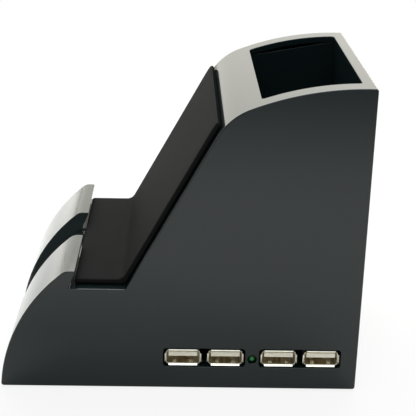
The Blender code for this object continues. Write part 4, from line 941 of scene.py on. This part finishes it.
def make_satin():
    """Injection moulded ABS from a spark-eroded mould: an even dull black with a fine sandy grain."""
    material, tree, shader, place, _ = mottled("textured_abs", 60.0, 3.0, "#1b1b1c", "#232324",
                                               Roughness=0.55, IOR=1.52)
    grain = add_node(tree, "TexVoronoi", {"Vector": place, "Scale": 2600.0})
    bump = add_node(tree, "Bump", {"Strength": 0.5, "Distance": 0.00004, "Height": (grain, "Distance")})
    plug(tree, shader, {"Normal": (bump, "Normal")})
    return material


def make_rubber():
    """Moulded synthetic rubber, talc-dulled: a matte black that stays dark, with a fine grain and a
    cloudy bloom."""
    material, tree, shader, place, _ = mottled("moulded_rubber", 45.0, 4.0, "#141514", "#1b1c1b",
                                               Roughness=0.85, IOR=1.5, Specular_IOR_Level=0.06)
    grain = add_node(tree, "TexNoise", {"Vector": place, "Scale": 2200.0, "Detail": 3.0})
    bump = add_node(tree, "Bump", {"Strength": 0.6, "Distance": 0.00005, "Height": (grain, "Fac")})
    plug(tree, shader, {"Normal": (bump, "Normal")})
    return material


def make_nickel():
    """Nickel plate on drawn steel sheet: bright and faintly warm, with fine draw lines along the depth."""
    return mottled("nickel_plated_sheet", 3000.0, 2.0, "#f0e9d8", "#faf6ea", (0.22, 0.38), (0.12, 1.0, 1.0),
                   Metallic=1.0)[0]


def make_zinc():
    """Zinc plate with a clear passivation: a greyer metal than nickel, slightly cloudy."""
    return mottled("zinc_plated_steel", 900.0, 4.0, "#b9bcc0", "#cfd0cd", (0.22, 0.45), Metallic=1.0)[0]


def make_gilt():
    """Thin gilding over a copper alloy: a pale yellow metal with worn, rougher patches."""
    return mottled("gilt_copper_alloy", 1500.0, 3.0, "#e3bb62", "#f0d391", (0.18, 0.4), Metallic=1.0)[0]


def make_cream():
    """Glass-filled polyester, moulded in its natural cream: dull, with a faint speckle of the filler."""
    return mottled("glass_filled_polyester", 2500.0, 2.0, "#fbf4df", "#fffbec", Roughness=0.5, IOR=1.57)[0]


def make_lens():
    """Cast tinted epoxy of a light: clear deep green, glossy, lighter towards its middle as a painted glow of
    light seen through the dome.
    """
    material, tree, shader, place = new_material("tinted_epoxy", Roughness=0.12, IOR=1.53)
    # Painted glow: the colour runs lighter towards the lens's middle, standing in for light seen through the
    # dome.
    flat = add_node(tree, "VectorMath", {0: place, 1: (0.0, 1.0, 1.0)}, operation="MULTIPLY")
    away = add_node(tree, "VectorMath", {0: (flat, "Vector"), 1: (0.0, GROUP_Y, LIGHT_Z)},
                    operation="DISTANCE")
    core = add_node(tree, "MapRange", {"Value": (away, "Value"), "From Max": LIGHT_RADIUS, "To Min": 1.0,
                                       "To Max": 0.0}, interpolation_type="SMOOTHSTEP")
    tint = add_node(tree, "Mix", {"Factor": (core, "Result"), 6: linear("#0c3a19"), 7: linear("#1f8438")},
                    data_type="RGBA")
    plug(tree, shader, {"Base Color": (tint, 2)})
    return material


def make_board_finish():
    """Epoxy glass board under a green solder resist: deep green, with lighter lines where copper runs."""
    material, tree, shader, place = new_material("solder_resist", Roughness=0.3)
    tracks = add_node(tree, "TexBrick", {"Vector": place, "Scale": 160.0, "Color1": linear("#05130b"),
                                         "Color2": linear("#06160d"), "Mortar": linear("#0b2819"),
                                         "Mortar Size": 0.03})
    bump = add_node(tree, "Bump", {"Strength": 0.4, "Distance": 0.00003, "Height": (tracks, "Fac")})
    plug(tree, shader, {"Base Color": (tracks, "Color"), "Normal": (bump, "Normal")})
    return material


def make_black_resin():
    """Moulded epoxy of the chip, sleeve of the capacitors, insulator of the inlet: a dull dark grey."""
    return mottled("moulded_epoxy", 3500.0, 2.0, "#1d1d1f", "#2a2a2b", Roughness=0.5)[0]


GLOSS = make_gloss()
RUBBER = make_rubber()
SATIN = make_satin()
NICKEL = make_nickel()
ZINC = make_zinc()
GILT = make_gilt()
CREAM = make_cream()
LENS = make_lens()
RESIST = make_board_finish()
RESIN = make_black_resin()

make_housing(GLOSS)
make_cup(GLOSS)
make_mat(RUBBER)
make_sockets(NICKEL)
make_inlet(NICKEL)
make_light(LENS)
make_cover(SATIN)
make_feet(RUBBER)
make_screws(ZINC)

CARRIED = {
    "hub_board": RESIST, "hub_chip": RESIN, "capacitor_1": RESIN, "capacitor_2": RESIN,
    "inlet_tongue": RESIN, "crystal": ZINC, "light_lead_1": ZINC, "light_lead_2": ZINC,
}
for number in range(1, 5):
    CARRIED[f"socket_{number}_tongue"] = CREAM
    CARRIED.update({f"socket_{number}_contact_{pin}": GILT for pin in range(1, 5)})
CARRIED.update({f"inlet_contact_{number}": GILT for number in range(1, 6)})
for name, material in CARRIED.items():
    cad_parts[name].material_slots[0].material = material


def make_camera():
    """The photograph's camera: turned about z, tipped down and rolled, then moved to its place."""
    pitch, yaw, roll = (math.radians(angle) for angle in CAMERA_ANGLES)
    data = bpy.data.cameras.new("photo_camera")
    data.sensor_width = CAMERA_SENSOR
    data.lens = CAMERA_LENS
    data.clip_start = 0.01
    item = linked("photo_camera", data)
    item.matrix_world = (Matrix.Translation(CAMERA_PLACE) @ Matrix.Rotation(math.pi / 2 + yaw, 4, "Z")
                         @ Matrix.Rotation(math.pi / 2 - pitch, 4, "X") @ Matrix.Rotation(roll, 4, "Z"))
    bpy.context.scene.camera = item


def soft_lamp(name, place, size, level, colour):
    """A rectangular lamp that faces the holder, with the brightness per area given by level."""
    data = bpy.data.lights.new(name, "AREA")
    data.shape = "RECTANGLE"
    data.size, data.size_y = size
    data.energy = level * math.pi * size[0] * size[1]
    data.color = colour
    lamp = linked(name, data)
    lamp.location = place
    lamp.rotation_euler = (Vector(LAMP_AIM) - Vector(place)).to_track_quat("-Z", "Y").to_euler()
    lamp.visible_camera = False
    return lamp


def bare_tree(owner):
    """The emptied node tree of a material or a world."""
    owner.use_nodes = True
    owner.node_tree.nodes.clear()
    return owner.node_tree


def make_floor():
    """A white floor that looks lit from within and keeps the holder's soft shadow. Its paint carries painted
    shade far in front of the side face and a painted shadow beside the housing's toe, which the side face
    reflects."""
    mesh = bpy.data.meshes.new("floor")
    half = FLOOR_HALF
    mesh.from_pydata([(-half, -half, 0), (half, -half, 0), (half, half, 0), (-half, half, 0)], [],
                     [(0, 1, 2, 3)])
    floor = linked("floor", mesh)
    material = bpy.data.materials.new("white_floor")
    tree = bare_tree(material)
    place = (add_node(tree, "TexCoord"), "Object")
    away = add_node(tree, "VectorMath", {0: place}, operation="LENGTH")
    path = add_node(tree, "LightPath")
    fade = add_node(tree, "MapRange", {"Value": (away, "Value"), "From Min": 0.12, "From Max": 0.5,
                                       "To Min": 0.87, "To Max": 1.0})
    seen = add_node(tree, "Math", {0: (path, "Is Camera Ray"), 1: (fade, "Result")}, operation="MULTIPLY")
    # Painted shade: the paint darkens far in front of the side face, and a painted shadow darkens it in a
    # patch beside the toe.
    spread = add_node(tree, "SeparateXYZ", {"Vector": place})
    front = add_node(tree, "MapRange", {"Value": (spread, "X"), "From Min": 0.26, "From Max": 0.56},
                     interpolation_type="SMOOTHSTEP")
    beside = add_node(tree, "VectorMath", {0: place, 1: PAINTED_SHADE_PLACE}, operation="DISTANCE")
    painted_toe_shadow = add_node(tree, "MapRange", {"Value": (beside, "Value"), "From Max": PAINTED_SHADE_REACH, "To Min": 0.57,
                                      "To Max": 0.0})
    painted_shade = add_node(tree, "Math", {0: (front, "Result"), 1: (painted_toe_shadow, "Result")}, operation="MAXIMUM")
    colour = add_node(tree, "Mix", {"Factor": (painted_shade, "Value"), 6: linear("#f4f4f3"), 7: linear("#9c9c9c")},
                      data_type="RGBA")
    paint = add_node(tree, "BsdfDiffuse", {"Color": (colour, 2)})
    glow = add_node(tree, "Emission", {"Color": (1.0, 1.0, 1.0, 1.0), "Strength": 1.0})
    mix = add_node(tree, "MixShader", {0: (seen, "Value"), 1: (paint, "BSDF"), 2: (glow, "Emission")})
    add_node(tree, "OutputMaterial", {"Surface": (mix, "Shader")})
    mesh.materials.append(material)


def make_sky():
    """A sky that the camera sees as white. It lights the holder most from behind, at a middle height."""
    world = bpy.data.worlds.new("studio")
    bpy.context.scene.world = world
    tree = bare_tree(world)
    place = (add_node(tree, "TexCoord"), "Generated")
    parts = add_node(tree, "SeparateXYZ", {"Vector": place})
    smooth = {"interpolation_type": "SMOOTHSTEP"}
    behind = add_node(tree, "MapRange", {"Value": (parts, "X"), "From Min": 0.2, "From Max": -0.9}, **smooth)
    low = add_node(tree, "MapRange", {"Value": (parts, "Z"), "From Min": 0.35, "From Max": 0.75,
                                      "To Min": 1.0, "To Max": 0.0}, **smooth)
    haze = add_node(tree, "MapRange", {"Value": (parts, "Z"), "From Min": 0.05, "From Max": 0.34,
                                       "To Min": 0.76}, **smooth)
    band = add_node(tree, "Math", {0: (behind, "Result"), 1: (low, "Result")}, operation="MULTIPLY")
    lobe = add_node(tree, "Math", {0: (band, "Value"), 1: (haze, "Result")}, operation="MULTIPLY")
    power = add_node(tree, "Math", {0: (lobe, "Value"), 1: 1.55, 2: 0.32}, operation="MULTIPLY_ADD")
    path = add_node(tree, "LightPath")
    sky = add_node(tree, "Background", {"Color": (1.0, 0.985, 0.9, 1.0), "Strength": (power, "Value")})
    white = add_node(tree, "Background", {"Color": (1.0, 1.0, 1.0, 1.0), "Strength": 1.0})
    mix = add_node(tree, "MixShader", {0: (path, "Is Camera Ray"), 1: (sky, "Background"),
                                       2: (white, "Background")})
    add_node(tree, "OutputWorld", {"Surface": (mix, "Shader")})


make_camera()
make_floor()
make_sky()
lamps = {name: soft_lamp(name, *setting) for name, setting in LAMPS.items()}
# The floor's lamp shines straight down, in a narrower cone.
lamps["floor_wash"].rotation_euler = (0.0, 0.0, math.pi / 2)
lamps["floor_wash"].data.spread = WASH_SPREAD

bpy.context.scene.view_settings.view_transform = "Standard"
